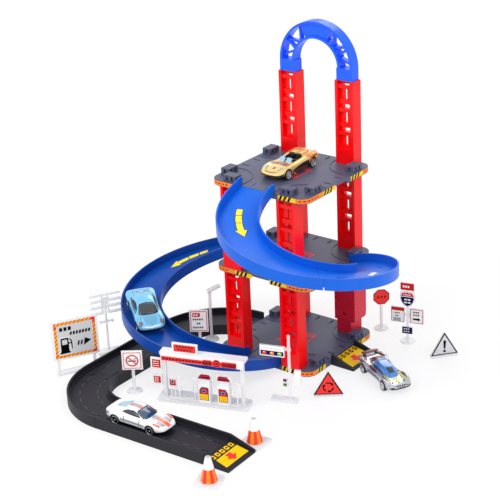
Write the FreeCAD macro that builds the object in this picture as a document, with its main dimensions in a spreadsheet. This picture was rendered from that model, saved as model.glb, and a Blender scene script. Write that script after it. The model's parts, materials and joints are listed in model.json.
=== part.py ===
# A toy parking garage: three square decks on ten red columns, with two spiral ramps between the
# decks, a black road loop, road signs, a fuel station and four die-cast cars.
# Millimetres. +X runs along the front edge of the decks, +Z is up, and the origin is the middle of
# the ground deck's underside, on the surface that everything stands on.
import FreeCAD, Part
import Sketcher
import math
import os
import re
from types import SimpleNamespace
from FreeCAD import Placement, Rotation, Vector

doc = FreeCAD.newDocument("ParkingGarage")

# Driving dimensions
SIZES = {
    # decks
    "deck_side": 120, "deck_thickness": 6, "deck_skin": 2.4, "deck_skirt": 2, "deck_corner_radius": 12,
    "rib_offset": 18, "rib_thickness": 1.6, "ring_radius": 29, "ring_width": 1, "ring_height": 0.6,
    "ring_inset": 11, "centre_pad_radius": 7,
    # sockets on the decks, two near each corner
    "socket_spacing": 71, "crown_width": 15.2, "crown_depth": 10.2, "crown_height": 6.6,
    "crown_wall": 1.5, "crown_window_width": 2.6, "crown_window_height": 4,
    # slots that the ramps and roads clip into
    "clip_spacing": 18.4, "clip_slot_length": 9, "clip_slot_width": 1.9, "clip_inset": 3.6,
    "clip_notch_width": 27, "tongue_thickness": 1.3, "clip_clearance": 0.15,
    "riser_length": 2.4,
    # columns
    "column_length": 89.5, "column_width": 22.2, "column_depth": 14.5, "column_flange": 3.2,
    "column_web": 2, "web_setback": 4.4, "ladder_pitch": 25, "window_width": 8.6, "window_height": 4.2,
    "slit_width": 2.6, "slit_height": 12, "rung_height": 4, "rung_depth": 3, "pad_height": 5,
    "pad_depth": 1.6, "foot_height": 16.5, "seat_clearance": 0.3, "tip_width": 3, "tip_depth": 5,
    "tip_height": 6, "tip_spacing": 8.4, "head_thickness": 3.4,
    # the thicker column at the right of the ground storey
    "tower_width": 24.4, "tower_depth": 23, "tower_plug_width": 18, "tower_plug_depth": 20.4,
    "tower_plug_height": 15, "tower_wall": 2.2, "tower_panel_depth": 1.2, "tower_hole_radius": 1.7,
    "tower_ear_depth": 1.6, "tower_offset": 1.2, "tower_overhang": 0.4,
    # arch over the top columns
    "arch_depth": 12, "arch_foot_width": 19.2, "arch_foot_height": 12, "arch_ring_depth": 18,
    "arch_rim": 2.6, "arch_bar": 2.4, "arch_web_depth": 5, "arch_crown_half_angle": 27,
    # spiral ramps
    "ramp_radius": 68, "ramp_width": 42.4, "ramp_wall": 1.6, "ramp_wall_height": 8.6,
    "ramp_floor": 1.8, "ramp_skirt": 3.6, "ramp_end_steepness": 8, "ramp_gap": 0.3,
    "ramp_horn_length": 3.4,
    # road loop
    "road_width": 44, "road_wall": 2, "road_height": 12, "road_floor": 2.2, "kerb_width": 2.2,
    "kerb_height": 1.4, "road_turn_radius": 58, "road_side_length": 119, "road_front_length": 132,
    "road_front_yaw": 2.5, "exit_length": 28, "exit_tip_height": 1.2, "exit_wall_tip": 3, "road_gap": 0.4,
    # signs
    "sign_post_radius": 1.7, "sign_base_radius": 8.2, "sign_base_height": 1.5, "sign_board": 1.8,
    "square_sign_side": 21, "square_sign_height": 47, "parking_sign_width": 20,
    "parking_board_height": 25.5, "parking_sign_height": 43,
    "billboard_width": 50, "billboard_height": 45, "billboard_clearance": 17, "billboard_leg": 3,
    "billboard_leg_spacing": 39, "billboard_base_depth": 8, "slab_height": 3,
    "lamp_post_height": 58, "lamp_head_length": 15, "mast_height": 70, "mast_pole": 2.4,
    "lamp_row_length": 13, "lamp_row_pitch": 7, "lamp_row_height": 2.6, "mast_bar_height": 36,
    "station_width": 96, "station_depth": 22, "station_height": 52.5, "station_post": 3.6,
    "station_post_spacing": 82.6, "station_roof_width": 90, "station_roof_depth": 11,
    "station_roof_thickness": 3, "fascia_height": 9.5, "top_board_width": 27, "top_board_height": 11,
    "top_board_offset": 18.5, "side_board_offset": 50, "pump_width": 12.4, "pump_depth": 7,
    "pump_height": 22, "pump_panel_width": 15, "pump_panel_height": 5.6, "first_pump_offset": 2.6,
    "pump_spacing": 20.4, "nozzle_tube_radius": 0.7, "nozzle_loop_radius": 2.5, "nozzle_low": 11,
    "nozzle_high": 22, "air_board_width": 8, "air_board_offset": 31.6,
    "traffic_height": 73.5, "traffic_board_width": 26, "traffic_board_height": 12,
    "traffic_board_drop": 13, "octagon_radius": 9.6, "octagon_height": 38.5, "route_height": 70,
    "cone_height": 25, "cone_radius": 7.8, "cone_tip_radius": 2.3, "cone_base_side": 25,
    "triangle_side": 31,
    # cars
    "wheel_radius": 5.2, "wheel_width": 4.6, "rim_radius": 3.9, "rim_recess": 1, "spoke_width": 1.1,
    "axle_radius": 0.8, "axle_clearance": 0.06, "wheelbase": 43, "wheel_track_outer": 30,
    "arch_clearance": 0.9, "glazing_inset": 0.8, "chassis_bottom": 2.2, "chassis_thickness": 1.8,
    "chassis_length": 54, "chassis_width": 19.4, "chassis_clearance": 0.2, "chassis_pocket_height": 9.6,
    "cradle_width": 17.4, "cradle_length": 6, "car_rest_gap": 0.3, "ramp_car_lift": 1.4,
    "road_car_distance": 41,
}

sheet = doc.addObject("Spreadsheet::Sheet", "Sizes")
for row, (alias, value) in enumerate(SIZES.items(), start=1):
    sheet.set("A%d" % row, alias)
    sheet.set("B%d" % row, str(value))
    sheet.setAlias("B%d" % row, alias)
doc.recompute()
size = SimpleNamespace(**{alias: float(sheet.get(alias)) for alias in SIZES})

STOREY = size.column_length + size.deck_thickness
nodes = {}


# Building blocks bound to the sheet
def formula(text):
    """Turns a formula in plain size names into one that reads the sheet."""
    def prefix(match):
        word = match.group()
        return "Sizes." + word if word in SIZES else word
    return re.sub(r"[a-z][a-z_]*", prefix, str(text))


def bind(item, **formulas):
    for name, text in formulas.items():
        item.setExpression(name.replace("__", "."), formula(text))
    return item


def put(item, x=0, y=0, z=0, yaw=0, tilt=None):
    """Places an object; tilt is a rotation axis and an angle that act before the yaw."""
    turn = Rotation(Vector(0, 0, 1), yaw)
    if tilt:
        turn = turn.multiply(Rotation(tilt[0], tilt[1]))
    item.Placement = Placement(Vector(0, 0, 0), turn)
    bind(item, Placement__Base__x=x, Placement__Base__y=y, Placement__Base__z=z)
    return item


def box(label, length, width, height, x, y, z):
    """A box centred on x and y that stands on z."""
    item = doc.addObject("Part::Box", label)
    bind(item, Length=length, Width=width, Height=height)
    return put(item, "(%s) - (%s) / 2" % (x, length), "(%s) - (%s) / 2" % (y, width), z)


def rod(label, radius, height, x=0, y=0, z=0, tilt=None, yaw=0):
    item = doc.addObject("Part::Cylinder", label)
    bind(item, Radius=radius, Height=height)
    return put(item, x, y, z, yaw, tilt)


def cone(label, low_radius, high_radius, height, x=0, y=0, z=0):
    item = doc.addObject("Part::Cone", label)
    bind(item, Radius1=low_radius, Radius2=high_radius, Height=height)
    return put(item, x, y, z)


def fuse(label, items):
    joined = doc.addObject("Part::MultiFuse", label)
    joined.Shapes = items
    joined.Refine = True
    return joined


def group(label, items):
    bundle = doc.addObject("Part::Compound", label)
    bundle.Links = items
    return bundle


def cut(label, base, tools):
    result = doc.addObject("Part::Cut", label)
    result.Base = base
    result.Tool = tools[0] if len(tools) == 1 else fuse(label + "_tools", tools)
    result.Refine = True
    return result


def turned_copies(label, item, count=4):
    """Copies an object around +Z in equal turns."""
    copies = []
    for index in range(count):
        copy = group("%s_%d" % (label, index), [item])
        copy.Placement = Placement(Vector(0, 0, 0), Rotation(Vector(0, 0, 1), 360 / count * index))
        copies.append(copy)
    return copies


def feature(label, shape, placement=None):
    item = doc.addObject("Part::Feature", label)
    item.Shape = shape
    if placement:
        item.Placement = placement
    return item


def rounded_plate(label, length, width, height, radius, x=0, y=0, z=0):
    """A plate with four rounded corners, padded from a constrained sketch centred on x and y."""
    sketch = doc.addObject("Sketcher::SketchObject", label + "_outline")
    half_x, half_y, corner = 20.0, 15.0, 3.0
    sides = [((-half_x + corner, -half_y), (half_x - corner, -half_y)),
             ((half_x, -half_y + corner), (half_x, half_y - corner)),
             ((half_x - corner, half_y), (-half_x + corner, half_y)),
             ((-half_x, half_y - corner), (-half_x, -half_y + corner))]
    centres = [(half_x - corner, -half_y + corner), (half_x - corner, half_y - corner),
               (-half_x + corner, half_y - corner), (-half_x + corner, -half_y + corner)]
    for start, end in sides:
        sketch.addGeometry(Part.LineSegment(Vector(*start, 0), Vector(*end, 0)), False)
    for index, centre in enumerate(centres):
        circle = Part.Circle(Vector(*centre, 0), Vector(0, 0, 1), corner)
        start = math.radians(-90 + 90 * index)
        sketch.addGeometry(Part.ArcOfCircle(circle, start, start + math.pi / 2), False)
    constrain = Sketcher.Constraint
    for index in range(4):
        sketch.addConstraint(constrain("Tangent", index, 2, 4 + index, 1))
        sketch.addConstraint(constrain("Tangent", 4 + index, 2, (index + 1) % 4, 1))
        sketch.addConstraint(constrain("Horizontal" if index % 2 == 0 else "Vertical", index))
    for index in range(3):
        sketch.addConstraint(constrain("Equal", 4, 5 + index))
    sketch.addConstraint(constrain("Symmetric", 4, 3, 6, 3, -1, 1))
    dimensions = [("DistanceX", constrain("DistanceX", 7, 3, 4, 3, 2 * (half_x - corner)),
                   "(%s) - 2 * (%s)" % (length, radius)),
                  ("DistanceY", constrain("DistanceY", 4, 3, 5, 3, 2 * (half_y - corner)),
                   "(%s) - 2 * (%s)" % (width, radius)),
                  ("Radius", constrain("Radius", 4, corner), str(radius))]
    for name, constraint, text in dimensions:
        number = sketch.addConstraint(constraint)
        sketch.renameConstraint(number, "Outline" + name)
        sketch.setExpression("Constraints.Outline" + name, formula(text))
    plate = doc.addObject("Part::Extrusion", label)
    plate.Base = sketch
    plate.DirMode = "Custom"
    plate.Dir = Vector(0, 0, 1)
    plate.Solid = True
    bind(plate, LengthFwd=height)
    return put(plate, x, y, z)


def prism(points, direction):
    """A straight prism on a closed polygon of points."""
    wire = Part.makePolygon(points + [points[0]])
    return Part.Face(wire).extrude(direction)


def keep(name, item, x=0, y=0, z=0, yaw=0):
    """Registers a finished piece under its node name and puts it in its place."""
    item.Label = name
    if isinstance(x, str) or isinstance(y, str) or isinstance(z, str) or x or y or z or yaw:
        put(item, x, y, z, yaw)
    nodes[name] = item
    return item


# Decks
def deck(name, level):
    edge = "deck_side / 2"
    inward = "%s - column_depth / 2" % edge
    plate = rounded_plate(name + "_plate", "deck_side", "deck_side", "deck_thickness", "deck_corner_radius")
    hollow = rounded_plate(name + "_hollow", "deck_side - 2 * deck_skirt", "deck_side - 2 * deck_skirt",
                           "deck_thickness - deck_skin", "deck_corner_radius - deck_skirt")
    shell = cut(name + "_shell", plate, [hollow])
    added = []
    removed = []
    for side, sign in (("left", "-1"), ("right", "1")):
        at = "%s * socket_spacing / 2" % sign
        tag = "%s_%s" % (name, side)
        added.append(box(tag + "_boss", "column_width", "column_depth", "deck_thickness", at,
                         "-(%s)" % inward, "0"))
        added.append(box(tag + "_crown", "crown_width", "crown_depth", "crown_height", at,
                         "-(%s)" % inward, "deck_thickness"))
        removed.append(box(tag + "_cavity", "crown_width - 2 * crown_wall", "crown_depth - 2 * crown_wall",
                           "deck_thickness + crown_height - crown_wall", at, "-(%s)" % inward, "0"))
        window_base = "deck_thickness + (crown_height - crown_window_height) / 2"
        for place in ("-1", "1"):
            removed.append(box(tag + "_window", "crown_window_width", "crown_depth + 1",
                               "crown_window_height", "%s + %s * crown_width / 5" % (at, place),
                               "-(%s)" % inward, window_base))
        removed.append(box(tag + "_side_window", "crown_width + 1", "crown_window_width",
                           "crown_window_height", at, "-(%s)" % inward, window_base))
        removed.append(box(tag + "_clip_slot", "clip_slot_width", "clip_slot_length", "deck_thickness",
                           "%s * clip_spacing / 2" % sign,
                           "-(%s) + clip_inset + clip_slot_length / 2" % edge, "0"))
        added.append(box(tag + "_rib", "rib_thickness", "deck_side / 2 - deck_skirt / 2",
                         "deck_thickness - deck_skin", "%s * rib_offset" % sign,
                         "deck_skirt / 4 - deck_side / 4", "0"))
    removed.append(box(name + "_notch", "clip_notch_width", "2 * deck_skirt + 1",
                       "deck_thickness - deck_skin", "0", "-(%s)" % edge, "0"))
    ring_angle = 124.0
    outer = rod(name + "_ring_outer", "ring_radius + ring_width / 2", "ring_height")
    inner = rod(name + "_ring_inner", "ring_radius - ring_width / 2", "ring_height")
    for item in (outer, inner):
        item.Angle = ring_angle
    ring = cut(name + "_ring", outer, [inner])
    put(ring, "ring_inset - %s" % edge, "ring_inset - %s" % edge, "deck_thickness", 45 - ring_angle / 2)
    added.append(ring)
    pad = rod(name + "_pad", "centre_pad_radius", "deck_thickness - 1")
    corners = turned_copies(name + "_added", fuse(name + "_side_added", added))
    whole = fuse(name + "_whole", [shell, pad] + corners)
    removals = turned_copies(name + "_removed", fuse(name + "_side_removed", removed))
    item = cut(name + "_deck", whole, removals)
    keep(name, item, z="%d * (column_length + deck_thickness)" % level)


# Columns
def column(name, x, y, level, yaw=0):
    """An H beam with a ladder of windows, a hollow foot that sits over a crown, and two tips on top."""
    front = "-column_depth / 2"
    inside = "column_width - 2 * column_flange"
    top = "column_length"
    parts = []
    for sign in ("-1", "1"):
        parts.append(box(name + "_flange", "column_flange", "column_depth", "column_length",
                         "%s * (column_width - column_flange) / 2" % sign, "0", "0"))
        parts.append(box(name + "_tip", "tip_width", "tip_depth", "tip_height + head_thickness",
                         "%s * tip_spacing / 2" % sign, "0", top + " - head_thickness"))
    web_y = "%s + web_setback + column_web / 2" % front
    parts.append(box(name + "_web", inside + " + 1", "column_web", "column_length", "0", web_y, "0"))
    parts.append(box(name + "_foot", inside + " + 1", "column_depth", "foot_height", "0", "0", "0"))
    parts.append(box(name + "_head", inside + " + 1", "column_depth - web_setback", "head_thickness", "0",
                     "web_setback / 2", top + " - head_thickness"))
    holes = []
    for step in range(3):
        under_top = "%s - %d * ladder_pitch" % (top, step)
        rung_top = "%s - window_height" % under_top
        parts.append(box(name + "_rung", inside + " + 1", "rung_depth", "rung_height", "0",
                         "%s + web_setback - rung_depth / 2" % front, "%s - rung_height" % rung_top))
        if step:
            parts.append(box(name + "_pad", inside + " + 1", "pad_depth", "pad_height", "0",
                             "%s + web_setback - pad_depth / 2" % front, under_top))
            window_base = under_top + " - window_height"
        else:
            window_base = under_top + " - head_thickness - window_height"
        holes.append(box(name + "_window", "window_width", "3 * column_web", "window_height", "0", web_y,
                         window_base))
        slit_top = "%s - ladder_pitch + pad_height + slit_height" % under_top
        holes.append(box(name + "_slit", "slit_width", "3 * column_web", "slit_height", "0", web_y,
                         "%s - slit_height" % slit_top))
    holes.append(box(name + "_seat", "crown_width + 2 * seat_clearance", "crown_depth + 2 * seat_clearance",
                     "crown_height + seat_clearance", "0", "0", "0"))
    item = cut(name + "_column", fuse(name + "_solid", parts), holes)
    keep(name, item, x, y, "deck_thickness + %d * (column_length + deck_thickness)" % level, yaw)


def tower_column(name, x, y):
    """The thick ground column: a hollow box with a plug below, a raised side panel and two ears."""
    body = box(name + "_body", "tower_width", "tower_depth", "column_length - tower_plug_height", "0", "0",
               "tower_plug_height")
    crown_x = "-tower_offset"
    crown_y = "(tower_depth - column_depth) / 2 - tower_overhang"
    plug = box(name + "_plug", "tower_plug_width", "tower_plug_depth", "tower_plug_height + 1", crown_x, "0",
               "0")
    seat = box(name + "_seat", "crown_width + 2 * seat_clearance", "crown_depth + 2 * seat_clearance",
               "crown_height + seat_clearance", crown_x, crown_y, "0")
    bore = box(name + "_bore", "tower_plug_width - 2 * tower_wall", "tower_plug_depth - 2 * tower_wall",
               "column_length - tower_wall - crown_height", crown_x, "0", "crown_height")
    hole = rod(name + "_hole", "tower_hole_radius", "tower_depth / 2", "0", "0", "tower_plug_height + 8",
               (Vector(1, 0, 0), 90))
    bottom = size.tower_plug_height
    height = size.column_length - bottom
    depth = size.tower_depth - 1
    outline = [Vector(0, -depth / 2, 0.6), Vector(0, depth / 2, 6.5), Vector(0, depth / 2, height - 3),
               Vector(0, -depth / 2, height - 3)]
    panel = feature(name + "_panel", prism(outline, Vector(size.tower_panel_depth + 0.5, 0, 0)))
    panel.Placement.Base = Vector(size.tower_width / 2 - 0.5, 0, bottom)
    ears = [box(name + "_ear", "3", "tower_ear_depth + 1", "9", "tower_width / 2 - 2",
                "tower_depth / 2 + tower_ear_depth / 2 - 0.5", "tower_plug_height + %d" % above)
            for above in (1, 20)]
    tips = []
    for sign in ("-1", "1"):
        tips.append(box(name + "_tip", "tip_width", "tip_depth", "tip_height + tower_wall",
                        "%s * tip_spacing / 2 + %s" % (sign, crown_x), crown_y,
                        "column_length - tower_wall"))
    solid = fuse(name + "_solid", [body, plug, panel] + ears + tips)
    keep(name, cut(name + "_tower", solid, [seat, bore, hole]), x, y, "deck_thickness")


# Arch
def arch(name):
    """A truss arch on two solid feet: outer and inner rims, zigzag bars and a plain crown panel."""
    half_span = (size.socket_spacing + size.arch_foot_width) / 2
    inner = half_span - size.arch_ring_depth
    depth = size.arch_depth
    centre = Vector(0, 0, size.arch_foot_height)

    def ring(high, low, thickness):
        back = centre + Vector(0, thickness / 2, 0)
        full = Part.makeCylinder(high, thickness, back, Vector(0, -1, 0))
        full = full.cut(Part.makeCylinder(low, thickness, back, Vector(0, -1, 0)))
        above = Part.makeBox(3 * high, 2 * depth, 2 * high,
                             Vector(-1.5 * high, -depth, size.arch_foot_height))
        return full.common(above)

    def spot(radius, angle):
        turn = math.radians(angle)
        return centre + Vector(radius * math.sin(turn), 0, radius * math.cos(turn))

    def bar(start, end, width, thickness):
        along = (end - start).normalize()
        across = Vector(-along.z, 0, along.x) * (width / 2)
        back = Vector(0, thickness / 2, 0)
        corners = [start + across + back, end + across + back, end - across + back, start - across + back]
        return prism(corners, Vector(0, -thickness, 0))

    pieces = [ring(half_span, half_span - size.arch_rim, depth), ring(inner + size.arch_rim, inner, depth)]
    web = ring(half_span - 1, inner + 1, size.arch_web_depth + 3)
    limit = size.arch_crown_half_angle
    wedge = [centre, spot(2 * half_span, -limit), spot(2 * half_span, 0), spot(2 * half_span, limit)]
    back = Vector(0, depth, 0)
    pieces.append(web.common(prism([corner + back for corner in wedge], Vector(0, -2 * depth, 0))))
    outer_radius = half_span - size.arch_rim / 2
    inner_radius = inner + size.arch_rim / 2
    for side in (-1, 1):
        zigzag = [(outer_radius, limit + 2), (inner_radius, limit + 18), (outer_radius, limit + 33),
                  (inner_radius, limit + 40), (outer_radius, limit + 58)]
        ends = [spot(radius, side * angle) for radius, angle in zigzag]
        for start, end in zip(ends, ends[1:]):
            pieces.append(bar(start, end, size.arch_bar, size.arch_web_depth))
        foot_x = side * size.socket_spacing / 2 - size.arch_foot_width / 2
        pieces.append(Part.makeBox(size.arch_foot_width, depth, size.arch_foot_height + 0.5,
                                   Vector(foot_x, -depth / 2, 0)))
    whole = pieces[0].multiFuse(pieces[1:]).removeSplitter()
    for side in (-1, 1):
        for tip in (-1, 1):
            width = size.tip_width + 2 * size.seat_clearance
            deep = size.tip_depth + 2 * size.seat_clearance
            middle = side * size.socket_spacing / 2 + tip * size.tip_spacing / 2
            pocket = Part.makeBox(width, deep, size.tip_height + size.seat_clearance,
                                  Vector(middle - width / 2, -deep / 2, 0))
            whole = whole.cut(pocket)
    item = feature(name, whole.Solids[0])
    item.Placement.Base = Vector(0, size.deck_side / 2 - size.column_depth / 2, 3 * STOREY)
    nodes[name] = item


# Clip that holds the end of a ramp or road under a deck edge
def clip(length_outside, riser_top):
    """A tongue with two fins, pointing along +X; X = 0 is the deck's edge and Z = 0 the deck's top."""
    thickness = size.tongue_thickness
    top = -size.deck_skin - size.clip_clearance
    reach = size.clip_inset + size.clip_slot_length
    width = size.clip_notch_width - 4 * size.clip_clearance
    bottom = top - thickness
    tongue = Part.makeBox(reach + length_outside, width, thickness,
                          Vector(-length_outside, -width / 2, bottom))
    riser = Part.makeBox(length_outside - size.clip_clearance, width, riser_top - bottom,
                         Vector(-length_outside, -width / 2, bottom))
    pieces = [tongue, riser]
    fin_length = size.clip_slot_length - 2 * size.clip_clearance
    fin_width = size.clip_slot_width - 2 * size.clip_clearance
    for sign in (-1, 1):
        corner = Vector(size.clip_inset + size.clip_clearance,
                        sign * size.clip_spacing / 2 - fin_width / 2, top)
        pieces.append(Part.makeBox(fin_length, fin_width, size.deck_skin - 0.2, corner))
    return pieces[0].multiFuse(pieces[1:])


def clip_at(x, y, z, heading, riser_top):
    """The clip, pointing along a heading in degrees from a deck edge point."""
    shape = clip(size.riser_length, riser_top)
    shape.Placement = Placement(Vector(x, y, z), Rotation(Vector(0, 0, 1), heading))
    return shape


# Spiral ramps
def ramp_route():
    """Length of a ramp's centre line and a function from distance to place, height and heading."""
    radius = size.ramp_radius
    edge = size.deck_side / 2
    lead = radius - edge
    arc = 1.5 * math.pi * radius
    total = 2 * lead + arc

    def place(distance):
        share = distance / total
        swing = 8 * share * (1 - share) * (share - 0.5)
        height = STOREY * (1 - share) + size.ramp_end_steepness * swing
        if distance <= lead:
            return Vector(0, -edge - distance, height), 270.0
        if distance >= lead + arc:
            return Vector(edge + total - distance, 0, height), 180.0
        turned = (distance - lead) / radius
        angle = math.pi + turned
        point = Vector(radius + radius * math.cos(angle), -radius + radius * math.sin(angle), height)
        return point, 270.0 + math.degrees(turned)
    return total, place


def channel_section(point, heading, half_width, wall, wall_height, floor, skirt):
    """A closed channel outline across the heading: walls up, skirts down, floor between."""
    turn = math.radians(heading)
    outward = Vector(math.sin(turn), -math.cos(turn), 0)
    profile = [(-half_width, -skirt), (-half_width, wall_height), (-half_width + wall, wall_height),
               (-half_width + wall, 0), (half_width - wall, 0), (half_width - wall, wall_height),
               (half_width, wall_height), (half_width, -skirt), (half_width - wall, -skirt),
               (half_width - wall, -floor), (-half_width + wall, -floor), (-half_width + wall, -skirt)]
    corners = [point + outward * across + Vector(0, 0, up) for across, up in profile]
    return Part.makePolygon(corners + [corners[0]])


def ramp_piece(start, end, stations):
    total, place = ramp_route()
    wires = []
    for index in range(stations + 1):
        distance = start + (end - start) * index / stations
        point, heading = place(distance)
        wires.append(channel_section(point, heading, size.ramp_width / 2, size.ramp_wall,
                                     size.ramp_wall_height, size.ramp_floor, size.ramp_skirt))
    return Part.makeLoft(wires, True, False)


def ramp_horns(x, y, heading):
    """The wall ends that reach a little way over a deck, with a sloping top."""
    reach = size.ramp_horn_length
    shapes = []
    for sign in (-1, 1):
        low = size.ring_height + 0.2
        high = size.ramp_wall_height
        side = sign * (size.ramp_width / 2 - size.ramp_wall / 2) - size.ramp_wall / 2
        outline = [Vector(-0.6, side, low), Vector(reach, side, low), Vector(reach, side, high - 1.5),
                   Vector(reach - 1.2, side, high), Vector(-0.6, side, high - 0.1)]
        horn = prism(outline, Vector(0, size.ramp_wall, 0))
        horn.Placement = Placement(Vector(x, y, 0), Rotation(Vector(0, 0, 1), heading))
        shapes.append(horn)
    return shapes


def ramps():
    total, place = ramp_route()
    gap = size.ramp_gap
    edge = size.deck_side / 2
    middle = total / 2
    entry = ramp_piece(gap, middle - gap / 2, 22)
    leave = ramp_piece(middle + gap / 2, total - gap, 22)
    upper_horns = ramp_horns(0, -edge, 90)
    for horn in upper_horns:
        horn.Placement.Base.z = STOREY
    entry = entry.multiFuse(upper_horns + [clip_at(0, -edge, STOREY, 90, -0.7 * size.ramp_floor)])
    leave = leave.multiFuse(ramp_horns(edge, 0, 180) + [clip_at(edge, 0, 0, 180, -0.2 * size.ramp_floor)])
    seam, heading = place(middle)
    turn = math.radians(heading)
    outward = Vector(math.sin(turn), -math.cos(turn), 0)
    notch = Part.makeBox(1.4, 6, 4, Vector(-0.7, -3, -size.ramp_skirt - 0.5))
    notch.Placement = Placement(seam + outward * (size.ramp_width / 2), Rotation(Vector(0, 0, 1), heading))
    slot = Part.makeBox(11, 2.4, 8, Vector(-5.5, -1.2, -5))
    slots = []
    for share, offset in ((0.57, -4), (0.84, 6)):
        point, direction = place(total * share)
        turn = math.radians(direction)
        across = Vector(math.sin(turn), -math.cos(turn), 0)
        hole = slot.copy()
        hole.Placement = Placement(point + across * offset, Rotation(Vector(0, 0, 1), direction + 8))
        slots.append(hole)
    entry = entry.cut(notch)
    leave = leave.cut(Part.makeCompound([notch] + slots))
    for storey, prefix, yaw in ((1, "upper_ramp", 0), (0, "lower_ramp", -90)):
        base = Vector(0, 0, storey * STOREY + size.deck_thickness)
        for half, shape in (("entry", entry), ("exit", leave)):
            name = "%s_%s" % (prefix, half)
            nodes[name] = feature(name, shape.Solids[0], Placement(base, Rotation(Vector(0, 0, 1), yaw)))


# Roads
def road_profile():
    """Half-width, height pairs of the road channel; height 0 is the surface it stands on."""
    half = size.road_width / 2
    wall = size.road_wall
    top = size.deck_thickness
    kerb = half - wall - size.kerb_width
    right = [(half, 0), (half, size.road_height), (half - wall, size.road_height),
             (half - wall, top + size.kerb_height), (kerb, top + size.kerb_height), (kerb, top)]
    left = [(-across, up) for across, up in reversed(right)]
    under = [(-half + wall, 0), (-half + wall, top - size.road_floor), (half - wall, top - size.road_floor),
             (half - wall, 0)]
    return right + left + under


def end_slots(start):
    """A pair of clip slots that begin at X = start."""
    shapes = []
    for sign in (-1, 1):
        corner = Vector(start, sign * size.clip_spacing / 2 - size.clip_slot_width / 2, 0)
        shapes.append(Part.makeBox(size.clip_slot_length, size.clip_slot_width, 2 * size.deck_thickness,
                                   corner))
    return shapes


def straight_road(length):
    points = [Vector(0, across, up) for across, up in road_profile()]
    slots = end_slots(size.clip_inset) + end_slots(length - size.clip_inset - size.clip_slot_length)
    return prism(points, Vector(length, 0, 0)).cut(Part.makeCompound(slots))


def curved_road(angle):
    """A left turn that starts at the origin heading along +X."""
    radius = size.road_turn_radius
    points = [Vector(0, across, up) for across, up in road_profile()]
    face = Part.Face(Part.makePolygon(points + [points[0]]))
    bend = face.revolve(Vector(0, radius, 0), Vector(0, 0, 1), angle)
    slots = []
    for heading, end in ((0, 0), (angle, 1)):
        pair = Part.makeCompound(end_slots(size.clip_inset))
        turn = math.radians(heading)
        place = Placement(Vector(radius * math.sin(turn), radius - radius * math.cos(turn), 0),
                          Rotation(Vector(0, 0, 1), heading + 180 * end))
        pair.Placement = place
        slots.append(pair)
    return bend.cut(Part.makeCompound(slots))


def exit_road():
    """A wedge that runs down from road height to the surface, starting at X = 0."""
    half = size.road_width / 2
    wall = size.road_wall
    top = size.deck_thickness
    length = size.exit_length
    profile = [(0, 0), (length, 0), (length, size.exit_tip_height), (0, top)]
    bed = prism([Vector(x, -half, z) for x, z in profile], Vector(0, 2 * half, 0))
    hollow = [(-1, 0), (length - 8, 0), (-1, top - size.road_floor)]
    bed = bed.cut(prism([Vector(x, -half + wall, z) for x, z in hollow], Vector(0, 2 * half - 2 * wall, 0)))
    sides = []
    for sign in (-1, 1):
        y = sign * (half - wall / 2) - wall / 2
        outline = [(0, 0), (length, 0), (length, size.exit_wall_tip), (0, size.road_height)]
        sides.append(prism([Vector(x, y, z) for x, z in outline], Vector(0, wall, 0)))
    return bed.multiFuse(sides).removeSplitter()


def joint_tongue():
    """The clip on a road end, pointing along -X into the piece before it."""
    shape = clip(size.riser_length, -size.road_floor / 2)
    shape.Placement = Placement(Vector(-size.road_gap, 0, size.deck_thickness),
                                Rotation(Vector(0, 0, 1), 180))
    return shape


def roads():
    edge = size.deck_side / 2
    gap = size.road_gap
    turn = size.road_turn_radius
    pieces = []
    back = curved_road(90)
    pieces.append(("road_curve_back", back, -edge - gap, 0, 180))
    side_start = -turn - gap
    side = straight_road(size.road_side_length)
    pieces.append(("road_straight_side", side, -edge - gap - turn, side_start, 270))
    front_start = side_start - size.road_side_length - gap
    front = curved_road(90 + size.road_front_yaw)
    pieces.append(("road_curve_front", front, -edge - gap - turn, front_start, 270))
    yaw = size.road_front_yaw
    slant = math.radians(yaw)
    forward = Vector(math.cos(slant), math.sin(slant), 0)
    centre = Vector(-edge - gap, front_start, 0)
    seam = centre + Vector(math.sin(slant), -math.cos(slant), 0) * turn
    start = seam + forward * gap
    long = straight_road(size.road_front_length)
    pieces.append(("road_straight_front", long, start.x, start.y, yaw))
    tip = start + forward * (size.road_front_length + gap)
    pieces.append(("road_exit_ramp", exit_road(), tip.x, tip.y, yaw))
    pieces.append(("deck_exit_ramp", exit_road(), edge + gap, 0, 0))
    for name, shape, x, y, heading in pieces:
        joined = shape.fuse(joint_tongue())
        nodes[name] = feature(name, joined.Solids[0],
                              Placement(Vector(x, y, 0), Rotation(Vector(0, 0, 1), heading)))


# Loose signs and street furniture: where each stands, and the way that it faces
PLACES = {
    "billboard": (-155.8, -178, 60), "floodlight_mast": (-157, -128, 60),
    "prohibition_sign": (-75, -179, 36), "parking_sign": (-84, -61.5, 34), "street_lamp": (-83, -43, 55),
    "fuel_station": (-0.6, -156.3, 19), "traffic_light": (65.2, -110.7, 18),
    "roundabout_sign": (95.5, -77.5, 37), "warning_sign": (147.5, 60.5, 50), "octagon_sign": (57, 79, 44),
    "route_sign": (98, 68, 16), "cone_1": (97.7, -271.7, 20), "cone_2": (90, -193, 2.5),
}


def stand(name, items, place=None):
    x, y, yaw = PLACES[place or name]
    keep(name, fuse(name + "_all", items), x, y, 0, yaw)


def round_foot(name, height):
    """A round foot with a slightly coned top and a post of a given height."""
    return [cone(name + "_foot", "sign_base_radius", "sign_base_radius - 1", "sign_base_height"),
            rod(name + "_post", "sign_post_radius", height)]


def board(name, width, height, x, z, y="0"):
    return box(name, width, "sign_board", height, x, y, z)


def post_sign(name, total_height, width, height):
    """An upright board on a post with a round foot."""
    items = round_foot(name, total_height + " - 2")
    items.append(board(name + "_board", width, height, "0", "%s - %s" % (total_height, height),
                       "-sign_post_radius"))
    stand(name, items)


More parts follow.
